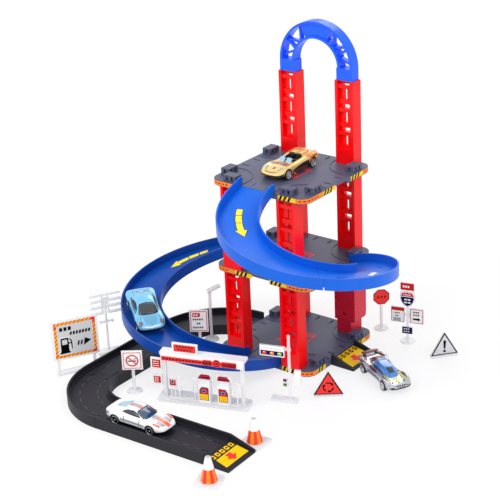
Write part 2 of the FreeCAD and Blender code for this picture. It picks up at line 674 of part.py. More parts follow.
def polygon_board(name, sides, radius, x, y, z, spin):
    """A flat regular polygon that faces -Y, centred on x and z."""
    item = doc.addObject("Part::Prism", name)
    item.Polygon = sides
    bind(item, Circumradius=radius, Height="sign_board")
    turn = Rotation(Vector(1, 0, 0), 90).multiply(Rotation(Vector(0, 0, 1), spin))
    item.Placement = Placement(Vector(0, 0, 0), turn)
    return bind(item, Placement__Base__x=x, Placement__Base__y=y, Placement__Base__z=z)


def triangle_sign(name):
    radius = "triangle_side / sqrt(3)"
    plate = polygon_board(name + "_plate", 3, radius, "0", "sign_board / 2", radius + " / 2 + 0.9", 90)
    foot = box(name + "_foot", "triangle_side - 2", "sign_board + 6", "1.6", "0", "0", "0")
    stand(name, [plate, foot])


def billboard(name):
    base_width = "billboard_leg_spacing + 2 * billboard_leg"
    items = [box(name + "_base", base_width, "billboard_base_depth", "slab_height", "0", "0", "0"),
             board(name + "_board", "billboard_width", "billboard_height", "0", "billboard_clearance",
                   "-billboard_leg / 2")]
    for sign in ("-1", "1"):
        items.append(box(name + "_leg", "billboard_leg", "billboard_leg",
                         "billboard_clearance + billboard_height - 3",
                         "%s * billboard_leg_spacing / 2" % sign, "0", "0"))
    stand(name, items)


def floodlight_mast(name):
    """A pole with two racks of four lamp rows, a tie block between them and a lower bar."""
    top = "mast_height"
    rack_x = "(lamp_row_length + 2 * lamp_row_height) / 2 + 1.6"
    items = [box(name + "_base", "26", "11", "slab_height", "0", "0", "0"),
             rod(name + "_pole", "mast_pole / 2", top + " - 6"),
             box(name + "_tie", "lamp_row_length / 2", "2", "8", "0", "0", top + " - 13"),
             box(name + "_bar", "13", "1.8", "2", "0", "0", "mast_bar_height")]
    for sign in ("-1", "1"):
        items.append(rod(name + "_knob", "1.6", "3", "%s * 6.5" % sign, "1.5", "mast_bar_height + 1",
                         (Vector(1, 0, 0), 90)))
        items.append(box(name + "_upright", "1.6", "2", "3 * lamp_row_pitch + lamp_row_height",
                         "%s * lamp_row_length / 4" % sign, "0",
                         top + " - 3 * lamp_row_pitch - lamp_row_height"))
        for row in range(4):
            items.append(box(name + "_row", "lamp_row_length", "3", "lamp_row_height",
                             "%s * (%s)" % (sign, rack_x), "-0.4",
                             "%s - lamp_row_height - %d * lamp_row_pitch" % (top, row)))
            if row in (0, 2):
                items.append(box(name + "_link", rack_x, "1.6", "1.6", "%s * (%s) / 2" % (sign, rack_x),
                                 "0", "%s - lamp_row_height - %d * lamp_row_pitch" % (top, row)))
    stand(name, items)


def street_lamp(name):
    """A pole with a round foot and a flat lamp head tilted over the road."""
    items = round_foot(name, "lamp_post_height")
    head = box(name + "_head", "lamp_head_length", "6", "2.4", "0", "0", "0")
    head.Placement.Rotation = Rotation(Vector(0, 1, 0), -18)
    items.append(bind(head, Placement__Base__x="-2", Placement__Base__y="-3",
                      Placement__Base__z="lamp_post_height - 1.5"))
    items.append(box(name + "_collar", "4", "4", "3", "0", "0", "lamp_post_height - 3"))
    stand(name, items)


def pump(label, x, y):
    """A fuel pump: a case, a neck and a sign panel with a round top."""
    top = "slab_height + pump_height"
    return fuse(label, [
        box(label + "_case", "pump_width", "pump_depth", "pump_height", x, y, "slab_height"),
        box(label + "_neck", "pump_width - 4", "sign_board", "6", x, y, top + " - 1"),
        box(label + "_panel", "pump_panel_width", "sign_board", "pump_panel_height", x, y, top + " + 3"),
        rod(label + "_round", "pump_panel_width / 2 - 1.5", "sign_board", x, y + " + sign_board / 2",
            top + " + 4", (Vector(1, 0, 0), 90))])


def nozzle_stand(label, x, y):
    """A long upright loop of hose on a short stem."""
    tube = "nozzle_tube_radius"
    bend = "nozzle_loop_radius"
    low = "slab_height + nozzle_low"
    high = "slab_height + nozzle_high"
    parts = [rod(label + "_stem", tube, "nozzle_low - nozzle_loop_radius", x, y, "slab_height")]
    for height, start in ((low, 180), (high, 0)):
        turn = doc.addObject("Part::Torus", label + "_bend")
        bind(turn, Radius1=bend, Radius2=tube)
        turn.Angle3 = 180
        put(turn, x, y, height, 0, (Vector(1, 0, 0), 90))
        turn.Placement.Rotation = turn.Placement.Rotation.multiply(Rotation(Vector(0, 0, 1), start))
        parts.append(turn)
    for sign in ("-1", "1"):
        parts.append(rod(label + "_side", tube, "nozzle_high - nozzle_low", "%s + %s * %s" % (x, sign, bend),
                         y, low))
    return fuse(label, parts)


def fuel_station():
    """Three nodes: the slab, the canopy on its two posts, and the pumps with what stands beside them."""
    name = "fuel_station"
    row_y = "-station_depth / 2 + pump_depth / 2 + 3"
    slab = rounded_plate(name + "_slab", "station_width", "station_depth", "slab_height", "4")
    sockets = [box(name + "_socket", "station_post + 0.2", "station_post + 0.2", "slab_height + 1",
                   "%s * station_post_spacing / 2" % sign, "0", "1") for sign in ("-1", "1")]
    x, y, yaw = PLACES[name]
    keep(name + "_base", cut(name + "_base_cut", slab, sockets), x, y, 0, yaw)
    front_y = "-station_post / 2 - sign_board / 2"
    canopy = [box(name + "_roof", "station_roof_width", "station_roof_depth", "station_roof_thickness", "0",
                  front_y + " - sign_board / 2 + station_roof_depth / 2",
                  "station_height - station_roof_thickness"),
              board(name + "_fascia", "station_roof_width - 2", "fascia_height", "0",
                    "station_height - fascia_height", front_y),
              board(name + "_top_board", "top_board_width", "top_board_height", "-top_board_offset",
                    "station_height - 0.5", "0")]
    for sign in ("-1", "1"):
        canopy.append(box(name + "_post", "station_post", "station_post", "station_height - 2",
                          "%s * station_post_spacing / 2" % sign, "0", "1.1"))
    for height, width in (("13.8", "11"), ("31", "12.6")):
        canopy.append(board(name + "_side_board", width, width, "-side_board_offset", height))
        canopy.append(box(name + "_arm", "side_board_offset - station_post_spacing / 2", "sign_board", "2",
                          "-(side_board_offset + station_post_spacing / 2) / 2", "0", height + " + 5"))
    stand(name + "_canopy", canopy, name)
    second = "(first_pump_offset + pump_spacing)"
    pumps = [pump(name + "_pump_1", "first_pump_offset", row_y), pump(name + "_pump_2", second, row_y),
             nozzle_stand(name + "_nozzle_1", "first_pump_offset - 10.6", row_y),
             nozzle_stand(name + "_nozzle_2", second + " + 13.4", row_y),
             nozzle_stand(name + "_nozzle_3", "-air_board_offset + 6.4", row_y)]
    air = [board(name + "_air_board", "air_board_width", "air_board_width",
                 "-air_board_offset", "16.6", row_y)]
    for sign in ("-1", "1"):
        air.append(rod(name + "_air_leg", "nozzle_tube_radius", "14.6", "-air_board_offset + %s * 2" % sign,
                       row_y, "slab_height"))
    pumps.append(fuse(name + "_air_stand", air))
    bed = box(name + "_pump_bed", "76", "pump_depth - 2", "0.8", "2", row_y, "slab_height")
    keep(name + "_pumps", fuse(name + "_pumps_all", pumps + [bed]), x, y, 0, yaw)


def traffic_light(name):
    """A slab, a post, a wide lamp board on an arm to the left and small plates lower down."""
    post_x = "6"
    board_x = "%s - 4.4 - traffic_board_width / 2" % post_x
    top = "traffic_height - traffic_board_drop"
    items = [box(name + "_base", "27", "9", "slab_height", "0", "0", "0"),
             rod(name + "_post", "1.5", "traffic_height", post_x),
             board(name + "_board", "traffic_board_width", "traffic_board_height", board_x,
                   top + " - traffic_board_height"),
             box(name + "_arm", "12", "1.6", "3", "%s - 4" % post_x, "0", top + " - 4"),
             board(name + "_plate", "6.5", "16.5", "%s + 8.6" % post_x, "20"),
             box(name + "_plate_arm", "8", "1.6", "2", "%s + 3.4" % post_x, "0", "28")]
    for height in (17, 22):
        items.append(board(name + "_label", "3.8", "3.4", "%s - 4.6" % post_x, str(height), "-0.6"))
        items.append(box(name + "_label_arm", "5", "1.2", "1.6", "%s - 2" % post_x, "0", "%d + 1" % height))
    stand(name, items)


def octagon_sign(name):
    items = round_foot(name, "octagon_height")
    items.append(polygon_board(name + "_board", 8, "octagon_radius", "0", "0", "octagon_height", 22.5))
    stand(name, items)


def route_sign(name):
    """A cluster of road boards on one post: a plate, a shield, two boards side by side and a tag."""
    front = "-sign_board / 2 - 0.6"
    half = 8.5
    outline = [Vector(-half, 0, 4), Vector(-half + 1.5, 0, 9.5), Vector(0, 0, 8), Vector(half - 1.5, 0, 9.5),
               Vector(half, 0, 4), Vector(half - 0.5, 0, -2), Vector(half - 4, 0, -7.5), Vector(0, 0, -10),
               Vector(4 - half, 0, -7.5), Vector(0.5 - half, 0, -2)]
    shield = feature(name + "_shield", prism(outline, Vector(0, -size.sign_board, 0)))
    shield.Placement.Base = Vector(0, 0, size.route_height - 19.5)
    items = round_foot(name, "route_height - 4")
    items.append(shield)
    items.append(board(name + "_top", "15", "8.5", "0", "route_height - 9", front))
    items.append(board(name + "_left", "15", "17.5", "-10.4", "route_height - 47", front))
    items.append(board(name + "_right", "15", "17.5", "10.4", "route_height - 47", front))
    items.append(board(name + "_tag", "11.5", "8", "0", "route_height - 60", front))
    items.append(box(name + "_bar", "20", "1.8", "3", "0", "0", "route_height - 40"))
    stand(name, items)


def traffic_cone(name):
    body = cone(name + "_body", "cone_radius", "cone_tip_radius", "cone_height", 0, 0, "1.2")
    plate = rounded_plate(name + "_plate", "cone_base_side", "cone_base_side", "1.5", "3")
    bore = cone(name + "_bore", "cone_radius - 1.6", "cone_tip_radius - 1.2", "cone_height - 1")
    x, y, yaw = PLACES[name]
    keep(name, cut(name + "_hollow", fuse(name + "_solid", [body, plate]), [bore]), x, y, 0, yaw)


# Cars, drawn about their own middle with the nose along +X and the wheels standing on Z = 0
def hull(stations):
    """A lofted body; each station is x, half width, underside, shoulder height and crown height."""
    wires = []
    for x, half, low, shoulder, crown in stations:
        right = [(0.9 * half, low), (half, low + 1.4), (half, shoulder - 1.6), (0.93 * half, shoulder),
                 (0.6 * half, crown)]
        outline = right + [(-across, up) for across, up in reversed(right)]
        corners = [Vector(x, across, up) for across, up in outline]
        wires.append(Part.makePolygon(corners + corners[:1]))
    return Part.makeLoft(wires, True, False)


def cabin(stations, inset=0.0):
    """A lofted cabin; each station is x, waist half width, waist height, roof half width and roof height."""
    wires = []
    middle = (stations[0][0] + stations[-1][0]) / 2
    length = stations[-1][0] - stations[0][0]
    shrink = (length - 2 * inset) / length
    for x, waist_half, waist, roof_half, roof in stations:
        right = [(waist_half - inset, waist - 1 - inset), (waist_half - inset, waist),
                 (roof_half - inset, roof - 0.9 - inset), (0.7 * roof_half, roof - inset)]
        outline = right + [(-across, up) for across, up in reversed(right)]
        corners = [Vector(middle + (x - middle) * shrink, across, up) for across, up in outline]
        wires.append(Part.makePolygon(corners + corners[:1]))
    return Part.makeLoft(wires, True, False)


def block(x0, x1, half_width, z0, z1):
    return Part.makeBox(x1 - x0, 2 * half_width, z1 - z0, Vector(x0, -half_width, z0))


def wheel_spaces():
    """The four wheel arches and the pocket for the chassis."""
    radius = size.wheel_radius + size.arch_clearance
    inner = size.wheel_track_outer / 2 - size.wheel_width - 0.6
    shapes = []
    for end in (-1, 1):
        for side in (-1, 1):
            axis = Vector(0, side, 0)
            start = Vector(end * size.wheelbase / 2, side * inner, size.wheel_radius)
            arch_space = Part.makeCylinder(radius, 12, start, axis)
            below = Part.makeBox(2 * radius, 12, 2 * size.wheel_radius,
                                 Vector(start.x - radius, inner if side > 0 else -inner - 12,
                                        -size.wheel_radius))
            shapes.append(arch_space.fuse(below))
    gap = size.chassis_clearance
    shapes.append(block(-size.chassis_length / 2 - gap, size.chassis_length / 2 + gap,
                        size.chassis_width / 2 + gap, -1, size.chassis_pocket_height))
    return shapes


def closed_car(body, roof, side_windows, screens):
    """The casting and the window piece of a car with a roof."""
    inset = size.glazing_inset
    inner = cabin(roof, inset)
    casting = hull(body).fuse(cabin(roof)).cut(inner)
    openings = [prism([Vector(x, -20, z) for x, z in outline], Vector(0, 40, 0)) for outline in side_windows]
    openings += [block(*screen) for screen in screens]
    casting = casting.cut(Part.makeCompound(openings)).cut(Part.makeCompound(wheel_spaces()))
    glazing = cabin(roof, inset + 0.1).cut(cabin(roof, inset + 0.9))
    floor_cut = block(-40, 40, 20, -5, size.chassis_pocket_height + 0.3)
    return largest(casting), largest(glazing.cut(floor_cut).cut(casting))


def largest(shape):
    return max(shape.Solids, key=lambda solid: solid.Volume)


BODY = {
    "gold_car": [(-36, 10.5, 6, 12.5, 13), (-32, 13.4, 5, 14, 14.6), (-21.5, 15, 4.4, 14.6, 15.4),
                 (-8, 14.2, 3.4, 12.6, 13.4), (8, 14, 3.4, 12, 13), (21.5, 14.8, 4, 12.6, 13),
                 (31, 13.2, 4, 9.6, 10.4), (36, 9.6, 4, 7.6, 8)],
    "blue_coupe": [(-32, 12, 6, 12.8, 13.4), (-29, 15, 5, 14.4, 15), (-21.5, 16.2, 4.4, 14.4, 15.6),
                   (-8, 14.8, 3.4, 13, 13.6), (8, 14.6, 3.4, 12.6, 13.4), (21.5, 15.8, 4, 12.8, 13.4),
                   (28, 13.8, 4, 10.4, 11.2), (31, 10, 4.4, 8.4, 8.8)],
    "white_coupe": [(-36, 11, 6, 12.4, 13), (-32, 13.6, 5, 14.2, 14.6), (-21.5, 15, 4.4, 14.6, 15.2),
                    (-8, 14.4, 3.4, 13, 13.4), (8, 14.2, 3.4, 12.4, 13), (21.5, 14.8, 4, 12.4, 12.8),
                    (31, 13.4, 4, 9.4, 10.2), (36, 9.8, 4, 7.6, 8)],
    "silver_car": [(-36, 10, 6, 13.4, 14), (-31, 13.6, 5, 15.4, 15.2), (-21.5, 15, 4.4, 15, 14.6),
                   (-8, 13, 3.4, 12.4, 12.8), (8, 12.8, 3.4, 11.4, 12), (21.5, 15, 4, 13, 11.6),
                   (31, 13, 4, 9.4, 9), (36, 8.6, 4, 7.6, 7.8)],
}
ROOF = {
    "gold_car": [(-12, 11.4, 12.6, 10, 14), (4, 11.6, 12.4, 9.4, 18.6), (12, 11.6, 12.2, 9.6, 15.4),
                 (17, 10.6, 12, 9.2, 13)],
    "blue_coupe": [(-26, 11.4, 13.6, 8, 14.8), (-13, 12.8, 13, 8.8, 19), (2, 12.8, 12.6, 9, 19.2),
                   (15, 11.8, 12.6, 9.8, 13.4)],
    "white_coupe": [(-28, 10.6, 13.6, 7.6, 14.6), (-12, 12.2, 13, 8.6, 18.8), (1, 12.2, 12.6, 8.8, 19),
                    (16, 11.2, 12.2, 9.4, 13)],
    "silver_car": [(-24, 6.4, 13, 4.6, 15), (-10, 9.4, 12.4, 6.6, 19), (5, 9.6, 12, 6.6, 18),
                   (20, 7, 11.4, 5.2, 12)],
}


def wheelset(name, place):
    """An axle with a spoked wheel on each end, turning about its own Y axis."""
    half = size.wheel_track_outer / 2
    width = size.wheel_width
    along = Vector(0, 1, 0)
    parts = [Part.makeCylinder(size.axle_radius, 2 * half - 1, Vector(0, 0.5 - half, 0), along)]
    for side in (-1, 1):
        outer = side * half
        out = Vector(0, side, 0)
        tyre = Part.makeCylinder(size.wheel_radius, width, Vector(0, outer - side * width, 0), out)
        rims = [edge for edge in tyre.Edges if edge.Length > 5 * size.wheel_radius]
        tyre = tyre.makeFillet(0.6, rims)
        recess = Part.makeCylinder(size.rim_radius, size.rim_recess + 1,
                                   Vector(0, outer - side * size.rim_recess, 0), out)
        hub = Part.makeCylinder(size.axle_radius + 0.5, size.rim_recess + 0.5,
                                Vector(0, outer - side * (size.rim_recess + 0.5), 0), out)
        parts += [tyre.cut(recess), hub]
        for spoke in range(5):
            bar = Part.makeBox(size.rim_radius + 0.3, size.rim_recess, size.spoke_width,
                               Vector(0, min(outer, outer - side * size.rim_recess), -size.spoke_width / 2))
            bar.rotate(Vector(0, 0, 0), along, 72 * spoke)
            parts.append(bar)
    whole = parts[0].multiFuse(parts[1:])
    nodes[name] = feature(name, largest(whole), place)


def chassis(name, place, seats):
    """The base plate with two drilled axle cradles, two posts under the hood, and seats if it is open."""
    bottom = size.chassis_bottom
    top = bottom + size.chassis_thickness
    half_length = size.chassis_length / 2
    half_width = size.chassis_width / 2
    parts = [block(-half_length, half_length, half_width, bottom, top)]
    holes = []
    for end in (-1, 1):
        middle = end * size.wheelbase / 2
        parts.append(block(middle - size.cradle_length / 2, middle + size.cradle_length / 2,
                           size.cradle_width / 2, bottom, size.wheel_radius + size.axle_radius + 1.2))
        holes.append(Part.makeCylinder(size.axle_radius + size.axle_clearance, 2 * size.wheel_track_outer,
                                       Vector(middle, -size.wheel_track_outer, size.wheel_radius),
                                       Vector(0, 1, 0)))
        parts.append(Part.makeCylinder(2, size.chassis_pocket_height - bottom,
                                       Vector(end * size.wheelbase / 4, 0, bottom)))
    if seats:
        for side in (-1, 1):
            parts.append(Part.makeBox(8, 6, 3, Vector(-8, side * 4.4 - 3, top)))
            parts.append(Part.makeBox(2, 6, 9.4, Vector(-10, side * 4.4 - 3, top)))
    whole = parts[0].multiFuse(parts[1:]).cut(Part.makeCompound(holes))
    nodes[name] = feature(name, largest(whole), place)


def car(name, place):
    body = BODY[name]
    roof = ROOF[name]
    spaces = Part.makeCompound(wheel_spaces())
    if name in ("blue_coupe", "white_coupe"):
        door = [(-11, 14), (-9, 17.4), (2, 17.6), (8, 14)]
        quarter = [(-20, 14.4), (-12.4, 14.2), (-11, 17), (-14, 17)]
        screens = [(6, 20, 7, 13.9, 18.6), (-30, -17, 6.4, 15.2, 18)]
        casting, glazing = closed_car(body, roof, [door, quarter], screens)
    elif name == "silver_car":
        casting = largest(hull(body).cut(cabin(roof, -0.05)).cut(spaces))
        above = block(-40, 40, 20, size.chassis_pocket_height + 0.3, 30)
        glazing = largest(cabin(roof).cut(cabin(roof, 0.9)).common(above).cut(casting))
    else:
        cockpit = block(-11, 10, 9.4, size.chassis_pocket_height - 1, 20)
        casting = largest(hull(body).cut(cockpit).cut(spaces))
        shield = cabin(roof).cut(cabin(roof, 0.9)).cut(hull(body))
        glazing = largest(shield.common(block(5.4, 20, 14, 10, 20)))
    nodes[name + "_casting"] = feature(name + "_casting", casting, place)
    nodes[name + "_windows"] = feature(name + "_windows", glazing, place)
    chassis(name + "_chassis", place, name == "gold_car")
    for end, where in ((1, "front"), (-1, "rear")):
        axle = Placement(Vector(end * size.wheelbase / 2, 0, size.wheel_radius), Rotation())
        wheelset("%s_%s_wheels" % (name, where), place.multiply(axle))


def car_place(x, y, z, yaw, pitch=0.0):
    """A place on a surface at height z; a positive pitch points the nose down."""
    turn = Rotation(Vector(0, 0, 1), yaw).multiply(Rotation(Vector(0, 1, 0), pitch))
    return Placement(Vector(x, y, z + size.car_rest_gap), turn)


def cars():
    car("gold_car", car_place(-2, 0, 2 * STOREY + size.deck_thickness, -90))
    slant = math.radians(size.road_front_yaw)
    turn = size.road_turn_radius
    gap = size.road_gap
    start_x = -size.deck_side / 2 - gap + math.sin(slant) * turn
    start_y = -turn - 2 * gap - size.road_side_length - math.cos(slant) * turn
    along = size.road_car_distance
    car("white_coupe", car_place(start_x + along * math.cos(slant), start_y + along * math.sin(slant),
                                 size.deck_thickness, size.road_front_yaw))
    total, route = ramp_route()
    lead = size.ramp_radius - size.deck_side / 2
    turned = 144.0
    distance = lead + math.radians(turned) * size.ramp_radius
    step = 1.0
    slope = (route(distance - step)[0].z - route(distance + step)[0].z) / (2 * step)
    heading = math.radians(180 + turned - 90)
    radius = size.ramp_radius - 3
    centre = Vector(-size.ramp_radius, -size.ramp_radius, route(distance)[0].z + size.deck_thickness)
    spot = centre + Vector(radius * math.cos(heading), radius * math.sin(heading), size.ramp_car_lift)
    car("blue_coupe", car_place(spot.x, spot.y, spot.z, math.degrees(heading) + 90,
                                math.degrees(math.atan(slope))))
    car("silver_car", car_place(124, -17.5, 0, -28.5))


# Assembly
def build():
    for level, name in enumerate(("ground", "middle", "top")):
        deck(name + "_deck", level)
    across = "socket_spacing / 2"
    edge = "(deck_side - column_depth) / 2"
    spots = {"left": ("-" + across, "-" + edge), "front": (across, "-" + edge),
             "right": (across, edge), "back": ("-" + across, edge)}
    storeys = (("ground", ("left", "front", "back")), ("middle", ("left", "front", "right", "back")),
               ("top", ("right", "back")))
    for level, (storey, corners) in enumerate(storeys):
        for corner in corners:
            column("%s_column_%s" % (storey, corner), spots[corner][0], spots[corner][1], level)
    tower_column("ground_column_thick", across + " + tower_offset",
                 "(deck_side - tower_depth) / 2 + tower_overhang")
    arch("top_arch")
    ramps()
    roads()
    billboard("billboard")
    floodlight_mast("floodlight_mast")
    post_sign("prohibition_sign", "square_sign_height", "square_sign_side", "square_sign_side")
    post_sign("parking_sign", "parking_sign_height", "parking_sign_width", "parking_board_height")
    street_lamp("street_lamp")
    fuel_station()
    traffic_light("traffic_light")
    triangle_sign("roundabout_sign")
    triangle_sign("warning_sign")
    octagon_sign("octagon_sign")
    route_sign("route_sign")
    traffic_cone("cone_1")
    traffic_cone("cone_2")
    cars()


build()
doc.recompute()

# Every object must be sound before anything is written
for item in doc.Objects:
    if "Invalid" in item.State or "Error" in item.State:
        raise RuntimeError("failed object: " + item.Name)
for name, item in nodes.items():
    if item.Shape.isNull() or not item.Shape.isValid():
        raise RuntimeError("bad shape: " + name)

os.makedirs("parts", exist_ok=True)
for name, item in nodes.items():
    item.Shape.exportStep("parts/%s.step" % name)
    solids = item.Shape.Solids
    volume = sum(solid.Volume for solid in solids)
    print("%-26s %2d solids %9.1f mm3" % (name, len(solids), volume))
print(len(nodes), "nodes")
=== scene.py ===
import json
import math

import bmesh
import bpy
from mathutils import Matrix, Vector
from mathutils.bvhtree import BVHTree

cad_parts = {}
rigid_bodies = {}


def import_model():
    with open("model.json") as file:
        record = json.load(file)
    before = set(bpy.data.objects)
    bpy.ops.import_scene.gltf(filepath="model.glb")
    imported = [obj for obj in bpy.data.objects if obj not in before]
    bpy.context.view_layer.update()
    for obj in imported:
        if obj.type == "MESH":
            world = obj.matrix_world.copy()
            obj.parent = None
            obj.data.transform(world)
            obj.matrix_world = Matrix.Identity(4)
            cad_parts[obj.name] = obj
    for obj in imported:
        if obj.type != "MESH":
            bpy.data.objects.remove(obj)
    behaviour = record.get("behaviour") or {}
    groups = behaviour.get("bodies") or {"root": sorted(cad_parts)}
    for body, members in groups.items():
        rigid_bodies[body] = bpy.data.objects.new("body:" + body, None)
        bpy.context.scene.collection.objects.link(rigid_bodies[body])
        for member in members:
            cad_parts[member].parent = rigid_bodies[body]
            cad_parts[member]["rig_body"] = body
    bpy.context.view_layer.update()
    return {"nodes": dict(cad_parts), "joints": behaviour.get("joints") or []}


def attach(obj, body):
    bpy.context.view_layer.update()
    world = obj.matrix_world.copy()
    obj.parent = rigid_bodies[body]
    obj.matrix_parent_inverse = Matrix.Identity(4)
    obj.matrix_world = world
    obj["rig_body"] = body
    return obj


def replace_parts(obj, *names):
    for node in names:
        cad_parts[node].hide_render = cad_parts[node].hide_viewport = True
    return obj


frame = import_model()

MM = 0.001
NODES = frame["nodes"]
JOINTS = {joint["name"]: joint for joint in frame["joints"]}

# Main sizes of the frame, in millimetres, as the solids have them
DECK_HALF = 60.0
DECK_CORNER = 12.0
DECK_THICKNESS = 6.0
DECK_STRAIGHT = 2 * (DECK_HALF - DECK_CORNER)
DECK_QUARTER = DECK_STRAIGHT + math.pi / 2 * DECK_CORNER
STOREY = 95.5
RAMP_MIDDLE = 68.0
ROAD_BEND = 58.0
WHEEL_RADIUS = 5.2
WHEEL_WIDTH = 4.6
TRACK_HALF = 15.0
WHEELBASE = 43.0

# How deep a print on a curved surface is, and how finely it follows it
SKIN_DEPTH = 0.35
SKIN_STEP = 1.2


# Materials
def linear(colour):
    """A colour written as on a screen, 0 to 255, as the renderer wants it."""
    shares = [value / 255 for value in colour]
    return [s / 12.92 if s <= 0.04045 else ((s + 0.055) / 1.055) ** 2.4 for s in shares]


def new_material(name):
    material = bpy.data.materials.new(name)
    material.use_nodes = True
    nodes = material.node_tree.nodes
    return material, nodes, material.node_tree.links, nodes["Principled BSDF"]


def add_node(nodes, kind, **values):
    node = nodes.new(kind)
    for key, value in values.items():
        if hasattr(node, key):
            setattr(node, key, value)
        else:
            node.inputs[key].default_value = value
    return node


def moulded(name, colour, rough=0.3, grain=0.06, flow=0.12, grain_scale=900.0, coat=0.0, metal=0.0,
            spread=0.08, shine=0.5, alpha=1.0):
    """Plastic or paint with a slow flow tint, a fine surface grain and an uneven gloss."""
    material, nodes, links, shader = new_material(name)
    base = linear(colour)
    where = nodes.new("ShaderNodeTexCoord")
    slow = add_node(nodes, "ShaderNodeTexNoise", Scale=22.0, Detail=3.0)
    fine = add_node(nodes, "ShaderNodeTexNoise", Scale=grain_scale, Detail=2.0)
    tint = nodes.new("ShaderNodeValToRGB")
    first, last = tint.color_ramp.elements
    first.position = 0.3
    last.position = 0.7
    first.color = [c * (1 - flow) for c in base] + [1.0]
    last.color = [min(1.0, c * (1 + flow * 0.6)) for c in base] + [1.0]
    gloss = nodes.new("ShaderNodeMapRange")
    gloss.inputs["To Min"].default_value = max(0.03, rough - spread)
    gloss.inputs["To Max"].default_value = rough + spread
    bump = add_node(nodes, "ShaderNodeBump", Strength=grain, Distance=0.0002)
    links.new(where.outputs["Object"], slow.inputs["Vector"])
    links.new(where.outputs["Object"], fine.inputs["Vector"])
    links.new(slow.outputs["Fac"], tint.inputs["Fac"])
    links.new(tint.outputs["Color"], shader.inputs["Base Color"])
    links.new(fine.outputs["Fac"], gloss.inputs["Value"])
    links.new(gloss.outputs["Result"], shader.inputs["Roughness"])
    links.new(fine.outputs["Fac"], bump.inputs["Height"])
    links.new(bump.outputs["Normal"], shader.inputs["Normal"])
    for socket, value in (("Metallic", metal), ("Specular IOR Level", shine), ("Coat Weight", coat),
                          ("Coat Roughness", 0.08), ("Alpha", alpha)):
        shader.inputs[socket].default_value = value
    return material


# Moulded plastic of the frame
MAT = {
    "deck": moulded("deck_grey", (80, 84, 108), rough=0.46, grain=0.22, flow=0.10, grain_scale=1500.0,
                    shine=0.3),
    "column": moulded("column_red", (250, 6, 12), rough=0.24, grain=0.03, flow=0.08, shine=0.25),
    # Painted shade and a painted pink reflection: the thick ground column is the same red plastic as the
    # other columns, made darker and pinker where the ramp above shades it
    "thick": moulded("thick_red", (206, 26, 54), rough=0.26, grain=0.03, flow=0.08, shine=0.3),
    "arch": moulded("arch_blue", (26, 96, 250), rough=0.26, grain=0.03, flow=0.06, shine=0.25),
    "ramp_high": moulded("ramp_blue", (16, 98, 214), rough=0.34, grain=0.05, flow=0.08, shine=0.2),
    # Painted shade: the lower ramps are the same blue plastic as the upper ones, made darker because they sit
    # under the deck above
    "ramp_low": moulded("ramp_deep_blue", (12, 72, 166), rough=0.34, grain=0.05, flow=0.08, shine=0.2),
    "road": moulded("road_black", (36, 36, 44), rough=0.5, grain=0.3, grain_scale=1600.0, shine=0.25),
    "dash": moulded("road_dash", (74, 74, 82), rough=0.5, grain=0.2, flow=0.08),
    "clear": moulded("sign_clear", (240, 241, 244), rough=0.18, grain=0.03, flow=0.02, shine=0.6, alpha=0.55),
    "milk": moulded("sign_milk", (246, 246, 248), rough=0.18, grain=0.03, flow=0.02, shine=0.6, alpha=0.82),
}

# Inks of the printed labels
INKS = {
    "white": (246, 246, 246), "grey": (214, 214, 216), "red": (206, 32, 34), "bright_red": (243, 62, 58),
    "orange": (246, 140, 44), "yellow": (250, 202, 20), "lemon": (250, 232, 70), "black": (8, 8, 10),
    "navy": (12, 18, 84), "green": (146, 208, 86), "maroon": (120, 28, 36), "sky": (96, 140, 190),
}
for tone, ink in INKS.items():
    MAT[tone] = moulded("print_" + tone, ink, rough=0.28, grain=0.04, flow=0.05, grain_scale=600.0,
                        shine=0.08)

# Paints of the cars: colour, roughness, metal, coat and flow
PAINTS = {
    "gold": ((238, 204, 122), 0.26, 0.35, 0.6, 0.14), "copper": ((206, 112, 48), 0.28, 0.5, 0.6, 0.12),
    "violet": ((92, 74, 128), 0.3, 0.0, 0.5, 0.12), "aqua": ((112, 192, 232), 0.22, 0.1, 0.7, 0.05),
    "aqua_shade": ((40, 96, 140), 0.3, 0.0, 0.4, 0.12), "pearl": ((238, 240, 242), 0.2, 0.0, 0.7, 0.02),
    "ash": ((168, 168, 182), 0.24, 0.0, 0.6, 0.04), "flame": ((240, 104, 44), 0.24, 0.0, 0.6, 0.05),
    "silver": ((190, 190, 198), 0.24, 0.5, 0.6, 0.12), "wine": ((104, 56, 66), 0.28, 0.3, 0.5, 0.12),
    "lime": ((198, 200, 92), 0.28, 0.2, 0.5, 0.12),
}
for tone, (paint, rough, metal, coat, flow) in PAINTS.items():
    MAT[tone] = moulded("paint_" + tone, paint, rough=rough, metal=metal, coat=coat, flow=flow, grain=0.02)

# Glass, trim, wheels and lamps of the cars
MAT.update({
    "slate": moulded("paint_slate", (70, 100, 124), rough=0.34, coat=0.3, grain=0.04),
    "tint": moulded("glass_tint", (26, 42, 52), rough=0.06, coat=1.0, flow=0.2, grain=0.0, spread=0.02),
    "tint_blue": moulded("glass_blue", (30, 72, 104), rough=0.06, coat=1.0, flow=0.35, grain=0.0,
                         spread=0.02),
    "canopy": moulded("canopy_blue", (66, 140, 214), rough=0.1, coat=1.0, flow=0.3, grain=0.0, spread=0.03),
    "ice": moulded("glass_ice", (150, 200, 226), rough=0.08, coat=1.0, flow=0.2, grain=0.0, spread=0.03),
    "trim": moulded("trim_black", (24, 24, 26), rough=0.4, grain=0.15, flow=0.1),
    "tyre": moulded("tyre_black", (20, 20, 21), rough=0.55, grain=0.3, flow=0.1, grain_scale=1200.0),
    "chrome": moulded("wheel_chrome", (214, 215, 220), rough=0.2, metal=0.6, flow=0.05, grain=0.02),
    "rim_dark": moulded("rim_dark", (58, 58, 62), rough=0.2, metal=0.8, flow=0.1, grain=0.02),
    "lamp": moulded("lamp_brown", (140, 92, 78), rough=0.2, coat=0.8, flow=0.2, grain=0.02),
    "lamp_red": moulded("lamp_red", (176, 26, 24), rough=0.16, coat=0.8, flow=0.1, grain=0.02),
})


def dress(tone, names):
    for name in names:
        materials = NODES[name].data.materials
        materials.clear()
        materials.append(MAT[tone])


